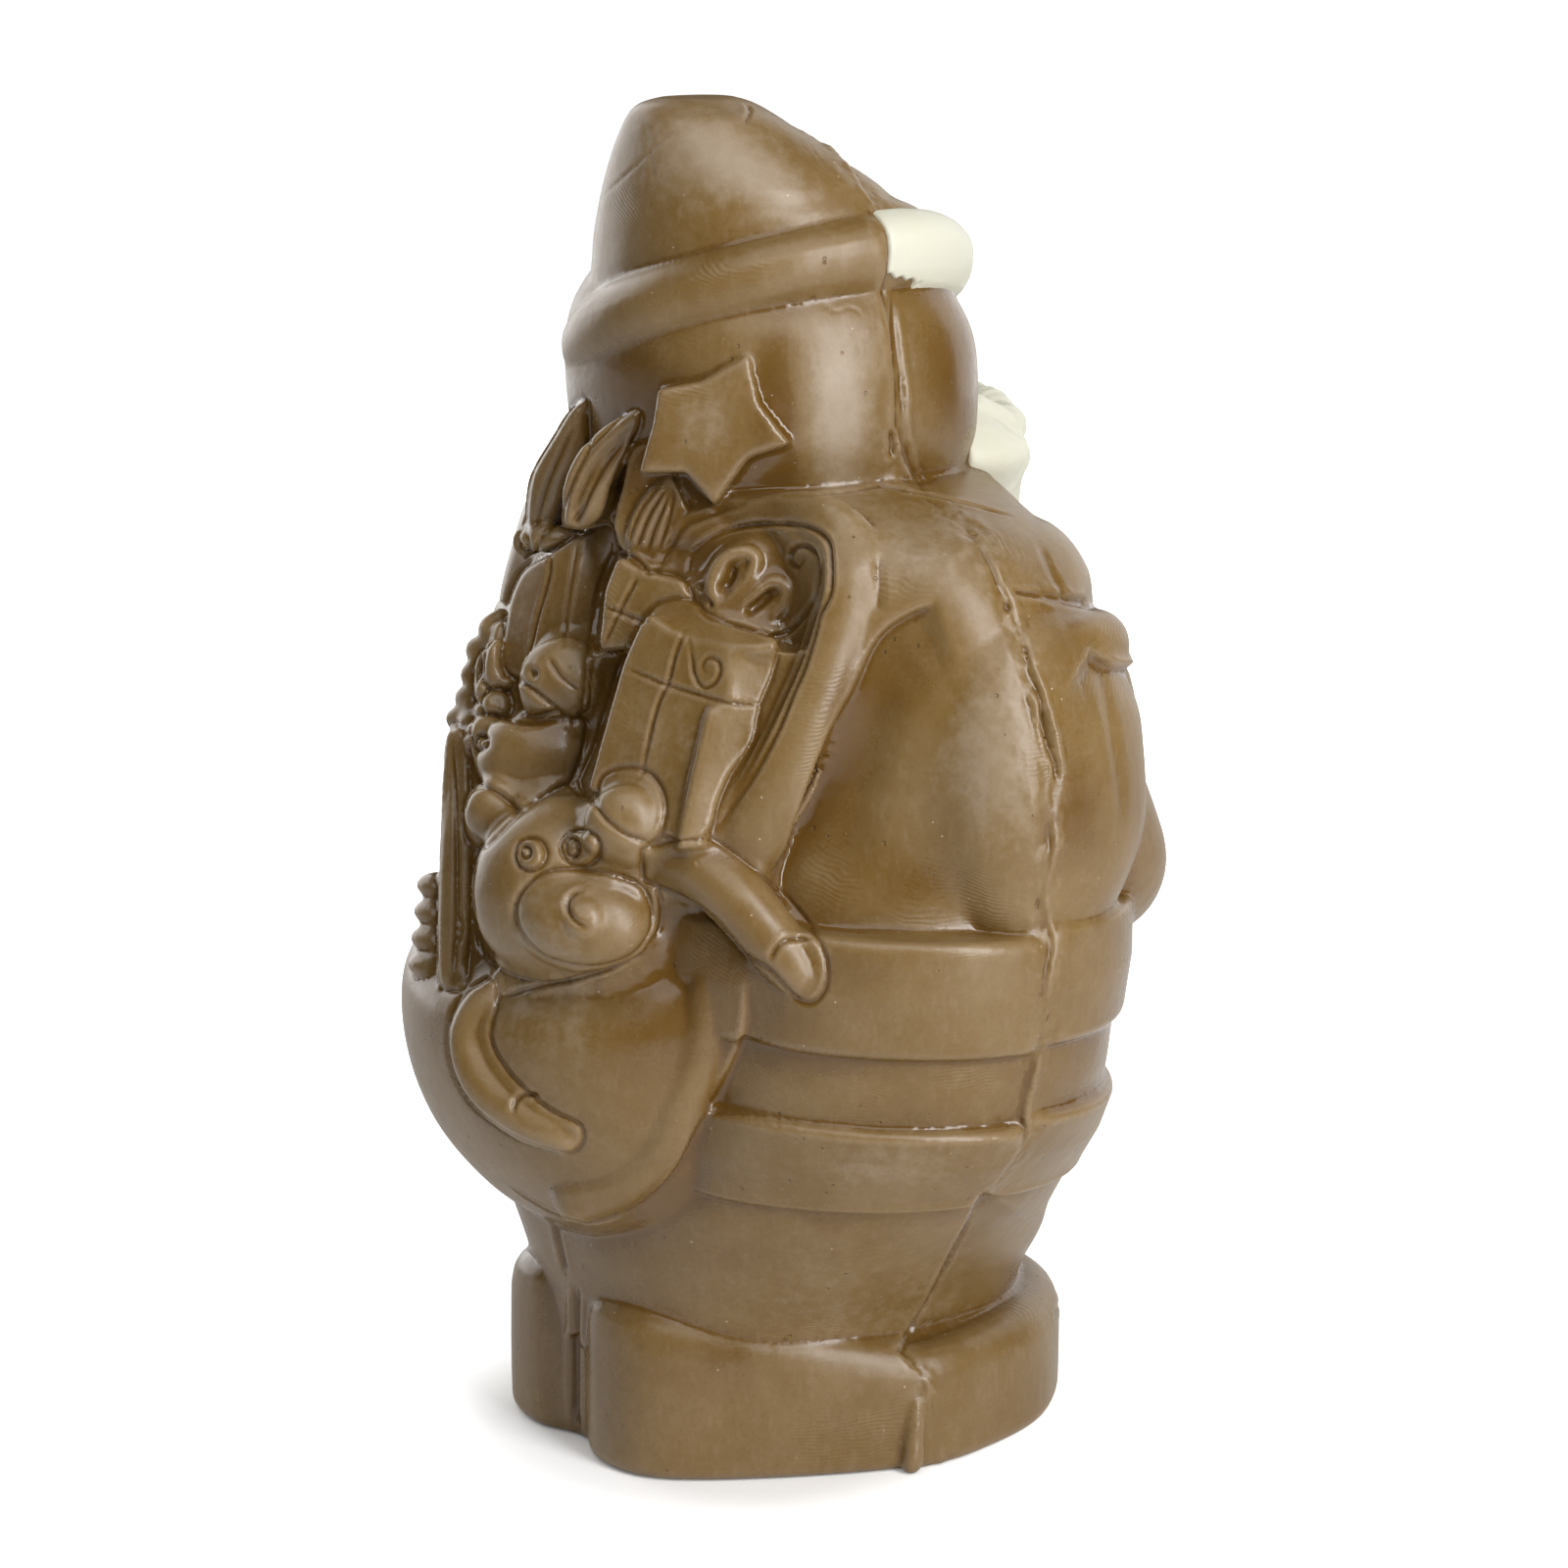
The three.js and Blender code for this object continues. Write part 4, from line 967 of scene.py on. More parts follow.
# Lines of the relief by the pixels that they cross: width and depth in millimetres, raised where depth is
# negative
LINES = [
    # muzzle, paws and chin of the bear
    (0.4, 0.5, [(593, 908), (581, 916), (579, 927), (585, 939), (599, 947)]),
    (0.35, 0.55, [(786, 978), (793, 966), (806, 958), (826, 958)]),
    (0.35, 0.55, [(524, 1134), (526, 1124), (535, 1117), (548, 1117)]),
    (0.35, 0.5, [(508, 1018), (530, 1012), (559, 1004), (590, 998), (620, 989), (652, 974)]),
    # edge of the sack's bag
    (0.4, 0.6, [(521, 1211), (540, 1224), (570, 1240), (603, 1247), (630, 1240)]),
    # ribbons of the presents
    (0.3, 0.45, [(638, 681), (675, 697), (710, 708), (743, 717), (775, 719)]),
    (0.3, 0.45, [(698, 645), (689, 668), (682, 695), (672, 717), (663, 750), (655, 790)]),
    (0.28, 0.4, [(702, 650), (706, 672), (708, 688), (716, 701), (727, 699), (734, 688), (733, 676),
                 (724, 671), (717, 677), (719, 686)]),
    (0.3, 0.5, [(562, 563), (560, 589), (549, 630), (542, 660), (532, 682)]),
    (0.3, 0.35, [(591, 546), (585, 585), (578, 630), (575, 660)]),
    (0.3, 0.45, [(650, 590), (634, 620), (616, 658)]),
    (0.3, 0.45, [(617, 619), (634, 626), (660, 636)]),
    # bow: knot, spiral and lower edge of its bed
    (0.35, 0.6, [(820, 572), (814, 579), (808, 575), (807, 565), (815, 558), (827, 560), (836, 571),
                 (837, 587), (831, 612), (817, 633), (804, 645), (788, 649), (776, 643)]),
    (0.35, 0.5, [(713, 622), (728, 633), (748, 639), (766, 644), (784, 650), (800, 647)]),
    (0.4, 0.6, [(714, 596), (717, 600)]),
    (0.4, 0.5, [(722, 613), (725, 617)]),
    (0.6, 0.9, [(748, 578), (746, 588), (739, 600)]),
    (0.6, 0.9, [(787, 605), (776, 615), (764, 624)]),
    # rim of the sack: inner crease, welt beside it, top and outer step
    (0.35, 0.6, [(703, 583), (708, 564), (733, 545), (756, 538), (781, 535), (806, 535), (827, 539),
                 (841, 548), (847, 563), (847, 603), (837, 626), (831, 649), (821, 680), (809, 707),
                 (799, 732), (786, 760), (764, 799), (725, 856)]),
    (0.4, -0.3, [(836, 560), (839, 580), (838, 603), (829, 628), (822, 650), (812, 680), (800, 706),
                 (789, 731), (776, 757), (755, 795), (722, 842)]),
    (0.5, 0.3, [(671, 584), (681, 561), (698, 537), (713, 529), (740, 519), (760, 515)]),
    # leaves, bristles and the crease under the star
    (0.35, 0.4, [(586, 434), (570, 466), (556, 500), (546, 540)]),
    (0.35, 0.5, [(637, 450), (622, 468), (606, 495), (594, 520), (586, 533)]),
    (0.3, 0.4, [(676, 492), (655, 518), (645, 540), (641, 554)]),
    (0.3, 0.45, [(682, 496), (665, 520), (655, 542), (650, 557)]),
    (0.3, 0.45, [(686, 496), (676, 520), (666, 542), (661, 561)]),
    (0.3, 0.45, [(689, 496), (684, 520), (678, 542), (672, 562)]),
    (0.35, 0.55, [(687, 482), (694, 498), (704, 517)]),
    (0.35, 0.5, [(628, 557), (650, 572), (662, 585), (671, 582)]),
    # flute
    (0.35, 0.5, [(462, 760), (466, 850), (466, 940), (462, 1000)]),
    (0.3, 0.5, [(470, 933), (471, 948), (469, 961)]),
    # socket and creases of the rounded toys
    (0.6, 0.7, [(540, 684), (545, 688)]),
    (0.35, 0.4, [(560, 672), (572, 690), (590, 704)]),
    # boots and trousers
    (0.8, 1.2, [(588, 1316), (588, 1380), (588, 1456)]),
    (0.8, 0.6, [(566, 1246), (571, 1270), (577, 1296)]),
    # shoulder
    (0.7, 0.22, [(896, 570), (898, 596), (897, 624)]),
    # flakes and the torn strip on the head, and the edge of the back half over the trousers and the boots
    (0.25, 0.12, [(842, 308), (852, 318), (868, 314), (878, 322)]),
    (0.5, 0.8, [(909, 442), (912, 452), (909, 464)]),
    (0.5, -0.22, [(914, 300), (920, 350), (926, 400), (928, 440), (936, 480), (950, 504)]),
    (0.5, 0.35, [(990, 1240), (968, 1285), (944, 1328), (920, 1368)]),
    # scratches on the hat
    (0.3, 0.14, [(615, 200), (650, 168), (690, 128)]),
    (0.3, 0.1, [(655, 120), (664, 160), (668, 190)]),
    (0.3, 0.3, [(762, 106), (765, 114), (760, 126)]),
    # folds of the sleeve, and the collar
    (0.4, 0.6, [(1034, 604), (1046, 606), (1060, 608)]),
    (0.7, 0.45, [(1060, 608), (1080, 611), (1100, 615), (1108, 616)]),
    (0.8, 0.25, [(1062, 556), (1074, 586), (1088, 610)]),
    (1.2, 0.3, [(1116, 650), (1124, 690), (1134, 740), (1142, 790), (1146, 840)]),
    (0.55, 1.1, [(1062, 724), (1067, 745), (1073, 770)]),
    (0.4, 0.7, [(1071, 764), (1077, 780), (1078, 793)]),
    (0.5, -0.45, [(1051, 706), (1057, 720), (1060, 738)]),
    (0.4, -0.3, [(1074, 738), (1080, 758), (1085, 786)]),
    (0.5, 0.5, [(800, 505), (850, 503), (905, 497), (925, 501), (960, 508), (1000, 518), (1030, 526)]),
]
# Edges of what stands over the surface on one side of them: depth of the step and how far it takes to fade
# out, in millimetres, and pixels
STEPS = [
    (1.3, 9.0, [(958, 612), (925, 626), (893, 652), (867, 709), (841, 761), (815, 830), (792, 896)]),
    (0.7, 5.0, [(906, 292), (909, 350), (912, 400), (913, 440), (925, 476), (942, 505)]),
    (0.9, 6.0, [(1004, 1212), (990, 1238), (966, 1285), (944, 1328), (918, 1370), (914, 1376)]),
    (1.8, 5.5, [(1215, 674), (1195, 675), (1172, 676), (1150, 676), (1132, 672), (1112, 660)]),
    (1.1, 5.0, [(760, 992), (756, 1050), (740, 1092), (714, 1144), (688, 1194), (650, 1230), (600, 1248)]),
]
# Lines of the front by x and z: width and depth in millimetres
FRONT_LINES = [
    # opening of the coat, and the gap between the boots and the legs
    (0.5, 0.6, [(2.5, 112), (2.5, 98), (2.5, 86)]), (0.5, 0.6, [(2.5, 67), (2.5, 59)]),
    (0.5, 0.5, [(2.5, 57), (2.5, 44)]), (1.0, 1.4, [(0, 1), (0, 10), (0, 19)]),
    (0.8, 0.8, [(0, 22), (0, 32), (0, 42)]),
    # lids of the eyes, and the creases across the boots
    (0.4, 0.5, [(-12, 153.2), (-9.5, 154.6), (-7, 155), (-4.6, 153.8)]),
    (0.4, 0.5, [(12, 153.2), (9.5, 154.6), (7, 155), (4.6, 153.8)]),
    (0.45, 0.5, [(-27, 13.4), (-17, 12.5), (-4, 14)]), (0.45, 0.5, [(27, 13.4), (17, 12.5), (4, 14)]),
]
# Where forms run softly into each other, by pixel: middle, half sizes in pixels, turn in degrees and share
SOFTENED = [
    ((880, 545), (75, 30), -5, 1.0), ((940, 650), (60, 50), 0, 1.0), ((905, 600), (30, 40), 0, 0.8),
    ((1060, 900), (40, 60), 0, 0.8), ((600, 1235), (60, 14), 10, 0.4),
]
# Soft pressings by pixel: middle, half sizes in pixels, turn in degrees and depth in millimetres
PRESSINGS = [
    ((880, 760), (34, 110), 14, 1.3),
    ((935, 668), (40, 40), 0, 0.8),
    ((900, 880), (50, 50), 0, 0.6),
    ((650, 520), (20, 40), 0, 0.3),
]
# Painted light and shade, placed as the pressings are: where it is painted dark and glossy as shade, or
# negative where it is painted dull and pale as a sheen
LIGHT_AND_SHADE_PATCHES = [
    ((640, 385), (50, 28), -15, 1.0), ((790, 430), (23, 105), 0, 1.5), ((775, 478), (32, 14), -15, 1.0),
    ((648, 465), (26, 60), 15, 1.0), ((572, 480), (22, 60), 15, 0.8), ((700, 530), (50, 40), 0, 0.7),
    ((780, 590), (60, 50), 0, 0.7), ((872, 705), (36, 60), 20, 1.2), ((930, 690), (40, 45), 0, 1.0),
    ((868, 800), (42, 70), 0, 0.9), ((930, 900), (60, 40), 0, 0.7), ((776, 760), (13, 90), 22, 1.2),
    ((690, 1020), (50, 70), 0, 0.9), ((440, 1030), (20, 50), 0, 0.6), ((880, 985), (60, 22), 10, 0.6),
    ((830, 1085), (90, 12), 5, 0.6), ((740, 1385), (55, 25), 5, 0.6), ((985, 390), (42, 80), 0, 0.8),
    ((1100, 800), (28, 110), -5, 0.7), ((700, 1215), (60, 16), -35, 0.7), ((560, 760), (40, 30), 0, 0.5),
    ((940, 560), (95, 50), 0, -0.8), ((1012, 765), (58, 95), 0, -1.0), ((856, 420), (38, 92), 0, -1.2),
    ((720, 430), (40, 40), 0, -0.7), ((680, 760), (50, 80), 10, -0.4), ((700, 150), (80, 62), 0, -0.8),
    ((790, 190), (70, 34), 35, -0.7), ((610, 925), (45, 35), 0, 0.6), ((590, 1000), (40, 110), 0, -0.5),
    ((520, 1010), (34, 90), 0, -0.5), ((880, 1340), (160, 60), 0, -0.5), ((900, 1190), (150, 30), 0, -0.5),
    ((570, 920), (50, 50), 0, -0.4),
]
# The sleeves are smoothed behind the seam: middle on the figure's left, and half sizes
SMOOTH_MIDDLE, SMOOTH_HALF = (48, 11, 101), (10, 10, 24)
# How far the smeared chocolate beside the seam reaches, a third of the strip that is worked
SMEAR_WIDTH = 2.6


def swell(relief, outlines, crease):
    """Swells what lies inside outlines, down to the creases that neighbours share, or softly without them."""
    back = np.array(view_axes()[0])
    normals = relief.normals()
    seen, depth = pixels_of(relief.co)
    corners = np.concatenate([pixels for _, _, pixels in outlines])
    low, high = corners.min(0) - OUTLINE_MARGIN, corners.max(0) + OUTLINE_MARGIN
    turn = 0.03 if crease else -0.4
    index = np.flatnonzero(np.all((seen > low) & (seen < high), axis=1) & (normals @ back > turn))
    across, down = seen[index].T
    scale = VIEW_REACH / depth[index]
    edge, rise, rounding = np.full(len(index), OUT_OF_REACH), np.zeros(len(index)), np.ones(len(index))
    for height, soft, pixels in outlines:
        inside = inside_outline(across, down, spline(pixels, 3, True)[:-1]) / scale
        within = inside > 0
        edge = np.where(within, inside, np.minimum(edge, -inside))
        rise[within], rounding[within] = height, soft
    near = np.clip(edge / rounding, 0, 1)
    dome = np.sqrt(1 - (1 - near) ** 2) if crease else ramp(near, 0, 1)
    lift = rise * dome - crease * np.exp(-((edge / CREASE_WIDTH) ** 2))
    towards = normals[index] + back * bool(crease)
    if not crease:
        lift *= ramp(normals[index] @ back, turn, turn + 0.3)
    relief.co[index] += towards / np.linalg.norm(towards, axis=1)[:, None] * lift[:, None]


def stepped(relief, normals):
    """Lowers the surface beside an edge, crisply at the edge and fading away from it."""
    seen, depth = pixels_of(relief.co)
    scale = VIEW_REACH / depth
    facing = ramp(normals @ np.array(view_axes()[0]), -0.35, 0.0)
    for deep, fade, pixels in STEPS:
        line = spline(pixels, 6)
        reach = 2.2 * fade * scale.max()
        low, high = line.min(0) - reach, line.max(0) + reach
        index = np.flatnonzero(np.all((seen > low) & (seen < high), axis=1) & (facing > 0))
        across, down = seen[index].T
        nearest, side, along = np.full(len(index), np.inf), np.zeros(len(index)), np.zeros(len(index))
        for i, ((x1, y1), (x2, y2)) in enumerate(zip(line, line[1:])):
            dx, dy = x2 - x1, y2 - y1
            t = np.clip(((across - x1) * dx + (down - y1) * dy) / (dx * dx + dy * dy), 0, 1)
            away = np.hypot(across - x1 - t * dx, down - y1 - t * dy)
            closer = away < nearest
            nearest[closer] = away[closer]
            side[closer] = np.sign(dy * (across - x1) - dx * (down - y1))[closer]
            along[closer] = (i + t[closer]) / (len(line) - 1)
        away = nearest * side / scale[index]
        press = deep * ramp(away, -0.15, 0.5) * np.exp(-((away / fade) ** 2))
        press *= ramp(np.minimum(along, 1 - along), 0, 0.15)
        relief.co[index] -= normals[index] * (press * facing[index])[:, None]


def combed(co, normals):
    """Combs the beard into wavy locks."""
    x, y, z = co.T
    lock = np.sin(1.3 * x + 1.1 * np.sin(0.24 * z + 0.1 * x) + 0.4)
    fine = np.sin(3.9 * x + 1.7 * np.sin(0.3 * z) + 0.5 * z)
    return co + normals * ((0.26 * lock + 0.08 * fine) * (0.15 + 0.85 * ramp(-y, 24, 29)))[:, None]


def bared(co, normals):
    """Draws the fur in under the brim beside the seam, where the milk chocolate shows."""
    x, y, z = co.T
    height = z - BRIM_MIDDLE - BRIM_TILT_X * x - BRIM_TILT_Y * y - BRIM_DROP * np.minimum(y, 0)
    ragged = 0.5 * np.sin(1.9 * x) + 0.4 * np.sin(3.1 * y + 0.7)
    return co - normals * (1.3 * ramp(-height + 0.36 * y + ragged, 3.4, 4.1) * ramp(y, -8, -6))[:, None]


def seam(relief, normals):
    """Steps the joint of the half moulds along y = 0, with a torn lip, low waves and a few pits."""
    x, y, z = relief.co.T
    worked = (np.abs(normals[:, 1]) < 0.8) & (np.abs(y) < 3 * SMEAR_WIDTH) & (np.hypot(x, z) > 12)
    index = np.flatnonzero(worked)
    spots = relief.co[index]
    x, y, z = spots.T
    wander = np.array([noise.noise(Vector((0, px * 0.02, pz * 0.11))) for px, _, pz in spots]) * 1.6
    worn = np.array([noise.noise(Vector((7, px * 0.05, pz * 0.09))) for px, _, pz in spots])
    smear = np.array([noise.fractal(Vector((px * 0.3, py * 0.5, pz * 0.22)), 0.7, 2.0, 4)
                      for px, py, pz in spots])
    pits = np.array([noise.noise(Vector((px * 0.6, py * 0.9, pz * 0.4))) for px, py, pz in spots])
    away = y - wander * ramp(-z, -152, -146)
    away *= np.where(z > NECK, 1, -1)
    height = np.clip(0.3 + 0.9 * worn, 0.05, 0.6)
    lift = ramp(away, -0.3, 0.3) * np.exp(-((away / 5) ** 2)) * height
    lift += np.exp(-(((away - 0.4) / 0.5) ** 2)) * np.clip(worn, 0, 0.4) * 0.7
    lift += np.exp(-((away / 3.2) ** 2)) * 0.25 * smear
    lift -= np.exp(-((away / 1.2) ** 2)) * ramp(pits, 0.58, 0.75) * 0.8
    on_brim = ramp(z, 153, 156) * ramp(-z, -174, -171)
    lift *= (1 - on_brim * (y < 1.2)) * (0.25 + 0.75 * ramp(z, 40, 48))
    relief.co[index] += normals[index] * lift[:, None]


def fine_relief(relief):
    """Softens the fused forms, swells the toys and presses the fine lines."""
    relief.co = relief.smoothed(relief.co, 4, 0.5)
    share = np.zeros(len(relief.co))
    for side in (-1, 1):
        away = (relief.co - mirrored([SMOOTH_MIDDLE], side)) / SMOOTH_HALF
        share = np.maximum(share, ramp(-np.sum(away**2, axis=1), -1.6, -0.4))
    y, z = relief.co[:, 1], relief.co[:, 2]
    share = np.maximum(share, 0.8 * np.exp(-((y / 1.8) ** 2)) * ramp(z, 24, 30))
    normals = relief.normals()
    for pixel, half, turn, amount in SOFTENED:
        share = np.maximum(share, amount * relief.patch(pixel, half, turn, normals))
    among = np.flatnonzero(share > 0.01)
    relief.co += (relief.smoothed(relief.co, 150, 0.8, among) - relief.co) * share[:, None]
    normals = relief.normals()
    for pixel, half, turn, depth in PRESSINGS:
        relief.co -= normals * (depth * relief.patch(pixel, half, turn, normals))[:, None]
    swell(relief, OUTLINES, CREASE_DEPTH)
    swell(relief, FOLDS, 0)
    stepped(relief, relief.normals())
    relief.store()
    traced = [(relief.on_surface(pixels), width, depth) for width, depth, pixels in LINES]
    traced += [(relief.on_front(points), width, depth) for width, depth, points in FRONT_LINES]
    normals = relief.normals()
    for points, width, depth in traced:
        relief.groove(points, width, depth, normals)
    seam(relief, normals)
    relief.co = relief.smoothed(relief.co, 1, 0.3)
    relief.co[:, 2] = np.maximum(relief.co[:, 2], 0)


def shade_values(relief):
    """Stores how creased and how hollow each point is, which is negative at edges, and the painted light and
    shade: dark glossy shade, negative where a pale sheen is painted.
    """
    normals = relief.normals()
    fine = np.sum((relief.smoothed(relief.co, 10, 0.6) - relief.co) * normals, axis=1)
    wide = relief.smoothed(fine, 50)
    glossy_shade = np.zeros(len(fine))
    for pixel, half, turn, amount in LIGHT_AND_SHADE_PATCHES:
        glossy_shade += amount * relief.patch(pixel, half, turn, normals)
    add_values(relief.mesh, "crease", fine)
    add_values(relief.mesh, "hollow", wide)
    add_values(relief.mesh, "glossy_shade", np.clip(glossy_shade, -1, 1))


# Materials

class Wire:
    """A socket in a material, for shader maths written as expressions."""

    def __init__(self, tree, socket):
        self.tree, self.socket = tree, socket

    def math(self, operation, *values):
        return node(self.tree, "ShaderNodeMath", {"operation": operation}, dict(enumerate(values)))

    def __add__(self, other):
        return self.math("ADD", self, other)

    def __sub__(self, other):
        return self.math("SUBTRACT", self, other)

    def __mul__(self, other):
        return self.math("MULTIPLY", self, other)

    def __rsub__(self, other):
        return self.math("SUBTRACT", other, self)

    __radd__ = __add__
    __rmul__ = __mul__

    def between(self, low, high):
        """0 at low, 1 at high."""
        return node(self.tree, "ShaderNodeMapRange", {"interpolation_type": "SMOOTHSTEP"},
                    {"Value": self, "From Min": low, "From Max": high})


def node(tree, kind, settings=(), inputs=(), output=0):
    """Any node: its settings first, then the values or links of its sockets."""
    made = tree.nodes.new(kind)
    for key, value in dict(settings).items():
        setattr(made, key, value)
    for key, value in dict(inputs).items():
        if isinstance(value, Wire):
            tree.links.new(value.socket, made.inputs[key])
        else:
            made.inputs[key].default_value = value
    return Wire(tree, made.outputs[output])


def mixed(tree, share, a, b):
    """A colour between two others."""
    made = tree.nodes.new("ShaderNodeMix")
    made.data_type, made.blend_type = "RGBA", "MIX"
    for socket, value in ((made.inputs[0], share), (made.inputs[6], a), (made.inputs[7], b)):
        if isinstance(value, Wire):
            tree.links.new(value.socket, socket)
        else:
            socket.default_value = value
    return Wire(tree, made.outputs[2])


def colour(rgb):
    """A colour with full cover."""
    return (*rgb, 1.0)


def new_material(name):
    """A material with nothing but its shader: the material, its nodes and the shader."""
    material = bpy.data.materials.new(name)
    material.use_nodes = True
    tree = material.node_tree
    tree.nodes.clear()
    shader = tree.nodes.new("ShaderNodeBsdfPrincipled")
    tree.links.new(shader.outputs[0], tree.nodes.new("ShaderNodeOutputMaterial").inputs[0])
    return material, tree, shader


def place(tree, scale=(1, 1, 1), turn=(0, 0, 0), shift=(0, 0, 0)):
    """Where a point lies on the object, in metres, scaled, turned and shifted."""
    where = node(tree, "ShaderNodeTexCoord", output=3)
    return node(tree, "ShaderNodeMapping", (),
                {"Vector": where, "Scale": scale, "Rotation": turn, "Location": shift})


def clouds(tree, vector, scale, detail=2.0, rough=0.5):
    """Cloudy noise about a middle of 0.5, with so many clouds to the metre."""
    return node(tree, "ShaderNodeTexNoise", (),
                {"Vector": vector, "Scale": scale, "Detail": detail, "Roughness": rough})


def dots(tree, vector, scale, low, high):
    """Round dots, with so many to the metre: 0 beyond the distance low from their middles, 1 within high."""
    return node(tree, "ShaderNodeTexVoronoi", (), {"Vector": vector, "Scale": scale}).between(low, high)


def stored(tree, name):
    """A value that the relief stored for every vertex."""
    return node(tree, "ShaderNodeAttribute", {"attribute_name": name}, output=2)


def bumped(tree, height, distance, strength=1.0, under=None):
    """Normals bumped by a height, over those of a bump made before."""
    inputs = {"Height": height, "Distance": distance, "Strength": strength}
    if under:
        inputs["Normal"] = under
    return node(tree, "ShaderNodeBump", (), inputs)


# Finger ridges repeat after this, in metres; a wave texture of scale 1 has 20 radians to the metre
FINGER_RIDGE = 0.00048
RIDGE_SCALE = 1 / FINGER_RIDGE / 20 * 2 * math.pi


def milk_chocolate(settings):
    """Milk chocolate: painted shade makes it dark and glossy in the creases, the hollows and the dark
    patches; it is dull with bloom and a painted pale sheen on what stands out, and rubbed, with raised edges
    lightened as wear and as a painted edge highlight.
    """
    material, tree, shader = new_material("milk_chocolate")
    spot = place(tree)
    crease, hollow, painted = stored(tree, "crease"), stored(tree, "hollow"), stored(tree, "glossy_shade")
    drift = clouds(tree, spot, 38, 3, 0.5)
    bloom = clouds(tree, spot, 85, 4, 0.6).between(0.36, 0.66)
    fine_bloom = clouds(tree, spot, 520, 3, 0.65).between(0.35, 0.72)
    rubbed = clouds(tree, place(tree, (1, 1, 0.35), (0.4, 0.2, 0.3)), 900, 3, 0.7).between(0.5, 0.7)
    speckle = clouds(tree, spot, 1500, 3, 0.7)
    # Painted shade: darker and glossier where the dark patches are painted and in broad hollows, and in
    # clouds at random
    glossy_shade_share = (painted * 0.75 + hollow * 7.0 + (drift - 0.5) * 2.2 + (speckle - 0.5) * 0.3).between(-0.3, 0.8)
    # Painted shade in the creases; the raised edges are lightened below as rubbed wear and as a painted edge
    # highlight
    line = crease.between(0.02, 0.12)
    worn = crease.between(-0.025, -0.1)
    base = mixed(tree, bloom * 0.5 + fine_bloom * 0.2, colour(settings.milk), colour(settings.bloom))
    base = mixed(tree, glossy_shade_share * 0.8, base, colour(settings.glossy_shade))
    base = mixed(tree, line * 0.75, base, colour(settings.glossy_shade))
    base = mixed(tree, worn * 0.35, base, colour(settings.worn))
    base = mixed(tree, rubbed * (1 - glossy_shade_share) * 0.2, base, colour(settings.worn))
    base = mixed(tree, speckle.between(0.46, 0.72) * 0.22, base, colour(settings.glossy_shade))
    # Pale haze in clouds at random, and a painted sheen where the pale patches are painted
    haze_and_sheen = ((drift - 0.5) * 0.9 - painted + (fine_bloom - 0.5) * 0.25).between(0.15, 1.1) * (1 - glossy_shade_share)
    base = mixed(tree, haze_and_sheen * 0.85, base, colour(settings.haze_and_sheen))
    specks = dots(tree, spot, 420.0, 0.07, 0.04) * clouds(tree, spot, 140, 2, 0.5).between(0.5, 0.6)
    base = mixed(tree, specks * 0.7, base, colour(settings.speck))
    tree.links.new(base.socket, shader.inputs["Base Color"])
    rough = 0.35 + fine_bloom * 0.05 - glossy_shade_share * 0.17 - line * 0.14 - worn * 0.05
    tree.links.new(rough.socket, shader.inputs["Roughness"])
    grain = clouds(tree, spot, 3200, 3, 0.65)
    ripple = clouds(tree, spot, 190, 3, 0.5)
    bubble = dots(tree, spot, 330.0, 0.1, 0.06)
    sparse = clouds(tree, spot, 60, 2, 0.5).between(0.52, 0.62)
    bands = node(tree, "ShaderNodeTexWave", {"bands_direction": "Z"},
                 {"Vector": place(tree, turn=(0.3, 0.5, 0)), "Scale": RIDGE_SCALE, "Distortion": 9.0,
                  "Detail": 1.0, "Detail Scale": 0.4}, output=1)
    touched = clouds(tree, spot, 55, 1, 0.4).between(0.53, 0.66)
    normal = bumped(tree, grain * (1 - glossy_shade_share * 0.7), 0.000016, 0.8)
    normal = bumped(tree, ripple, 0.0005, 0.3, normal)
    normal = bumped(tree, bands * touched * (1 - glossy_shade_share), 0.000045, 0.6, normal)
    normal = bumped(tree, 1 - bubble * sparse, 0.0004, 0.8, normal)
    tree.links.new(normal.socket, shader.inputs["Normal"])
    shader.inputs["IOR"].default_value = 1.5
    return material


def white_chocolate(settings):
    """Creamy white chocolate, smooth with a faint cloudiness."""
    material, tree, shader = new_material("white_chocolate")
    spot = place(tree)
    cloud = clouds(tree, spot, 120, 3, 0.5).between(0.35, 0.7)
    base = mixed(tree, cloud * 0.5, colour(settings.white), colour(settings.cream))
    tree.links.new(base.socket, shader.inputs["Base Color"])
    tree.links.new((0.42 + cloud * 0.08).socket, shader.inputs["Roughness"])
    normal = bumped(tree, clouds(tree, spot, 500, 3, 0.55), 0.0002, 0.4)
    tree.links.new(normal.socket, shader.inputs["Normal"])
    shader.inputs["IOR"].default_value = 1.46
    return material


# Settings

class CastingSettings(bpy.types.PropertyGroup):
    cell: FloatProperty(name="Cell", description="Size of the cells that fuse the forms", default=0.4 * MM,
                        min=0.3 * MM, unit="LENGTH")
    white_cell: FloatProperty(name="White cell", description="Cell of the white chocolate", default=0.4 * MM,
                              min=0.3 * MM, unit="LENGTH")
    proud: FloatProperty(name="White proud", description="How far the white chocolate stands out",
                         default=0.35 * MM, unit="LENGTH")
    roll: FloatProperty(name="Roll", description="Radius of the ball that fills between the toys",
                        default=3.0 * MM, unit="LENGTH")
    sink: FloatProperty(name="Sink", description="How far the filling lies below the toys",
                        default=0.5 * MM, unit="LENGTH")
    triangles: IntProperty(name="Triangles", description="Most triangles in the milk chocolate",
                           default=312000)


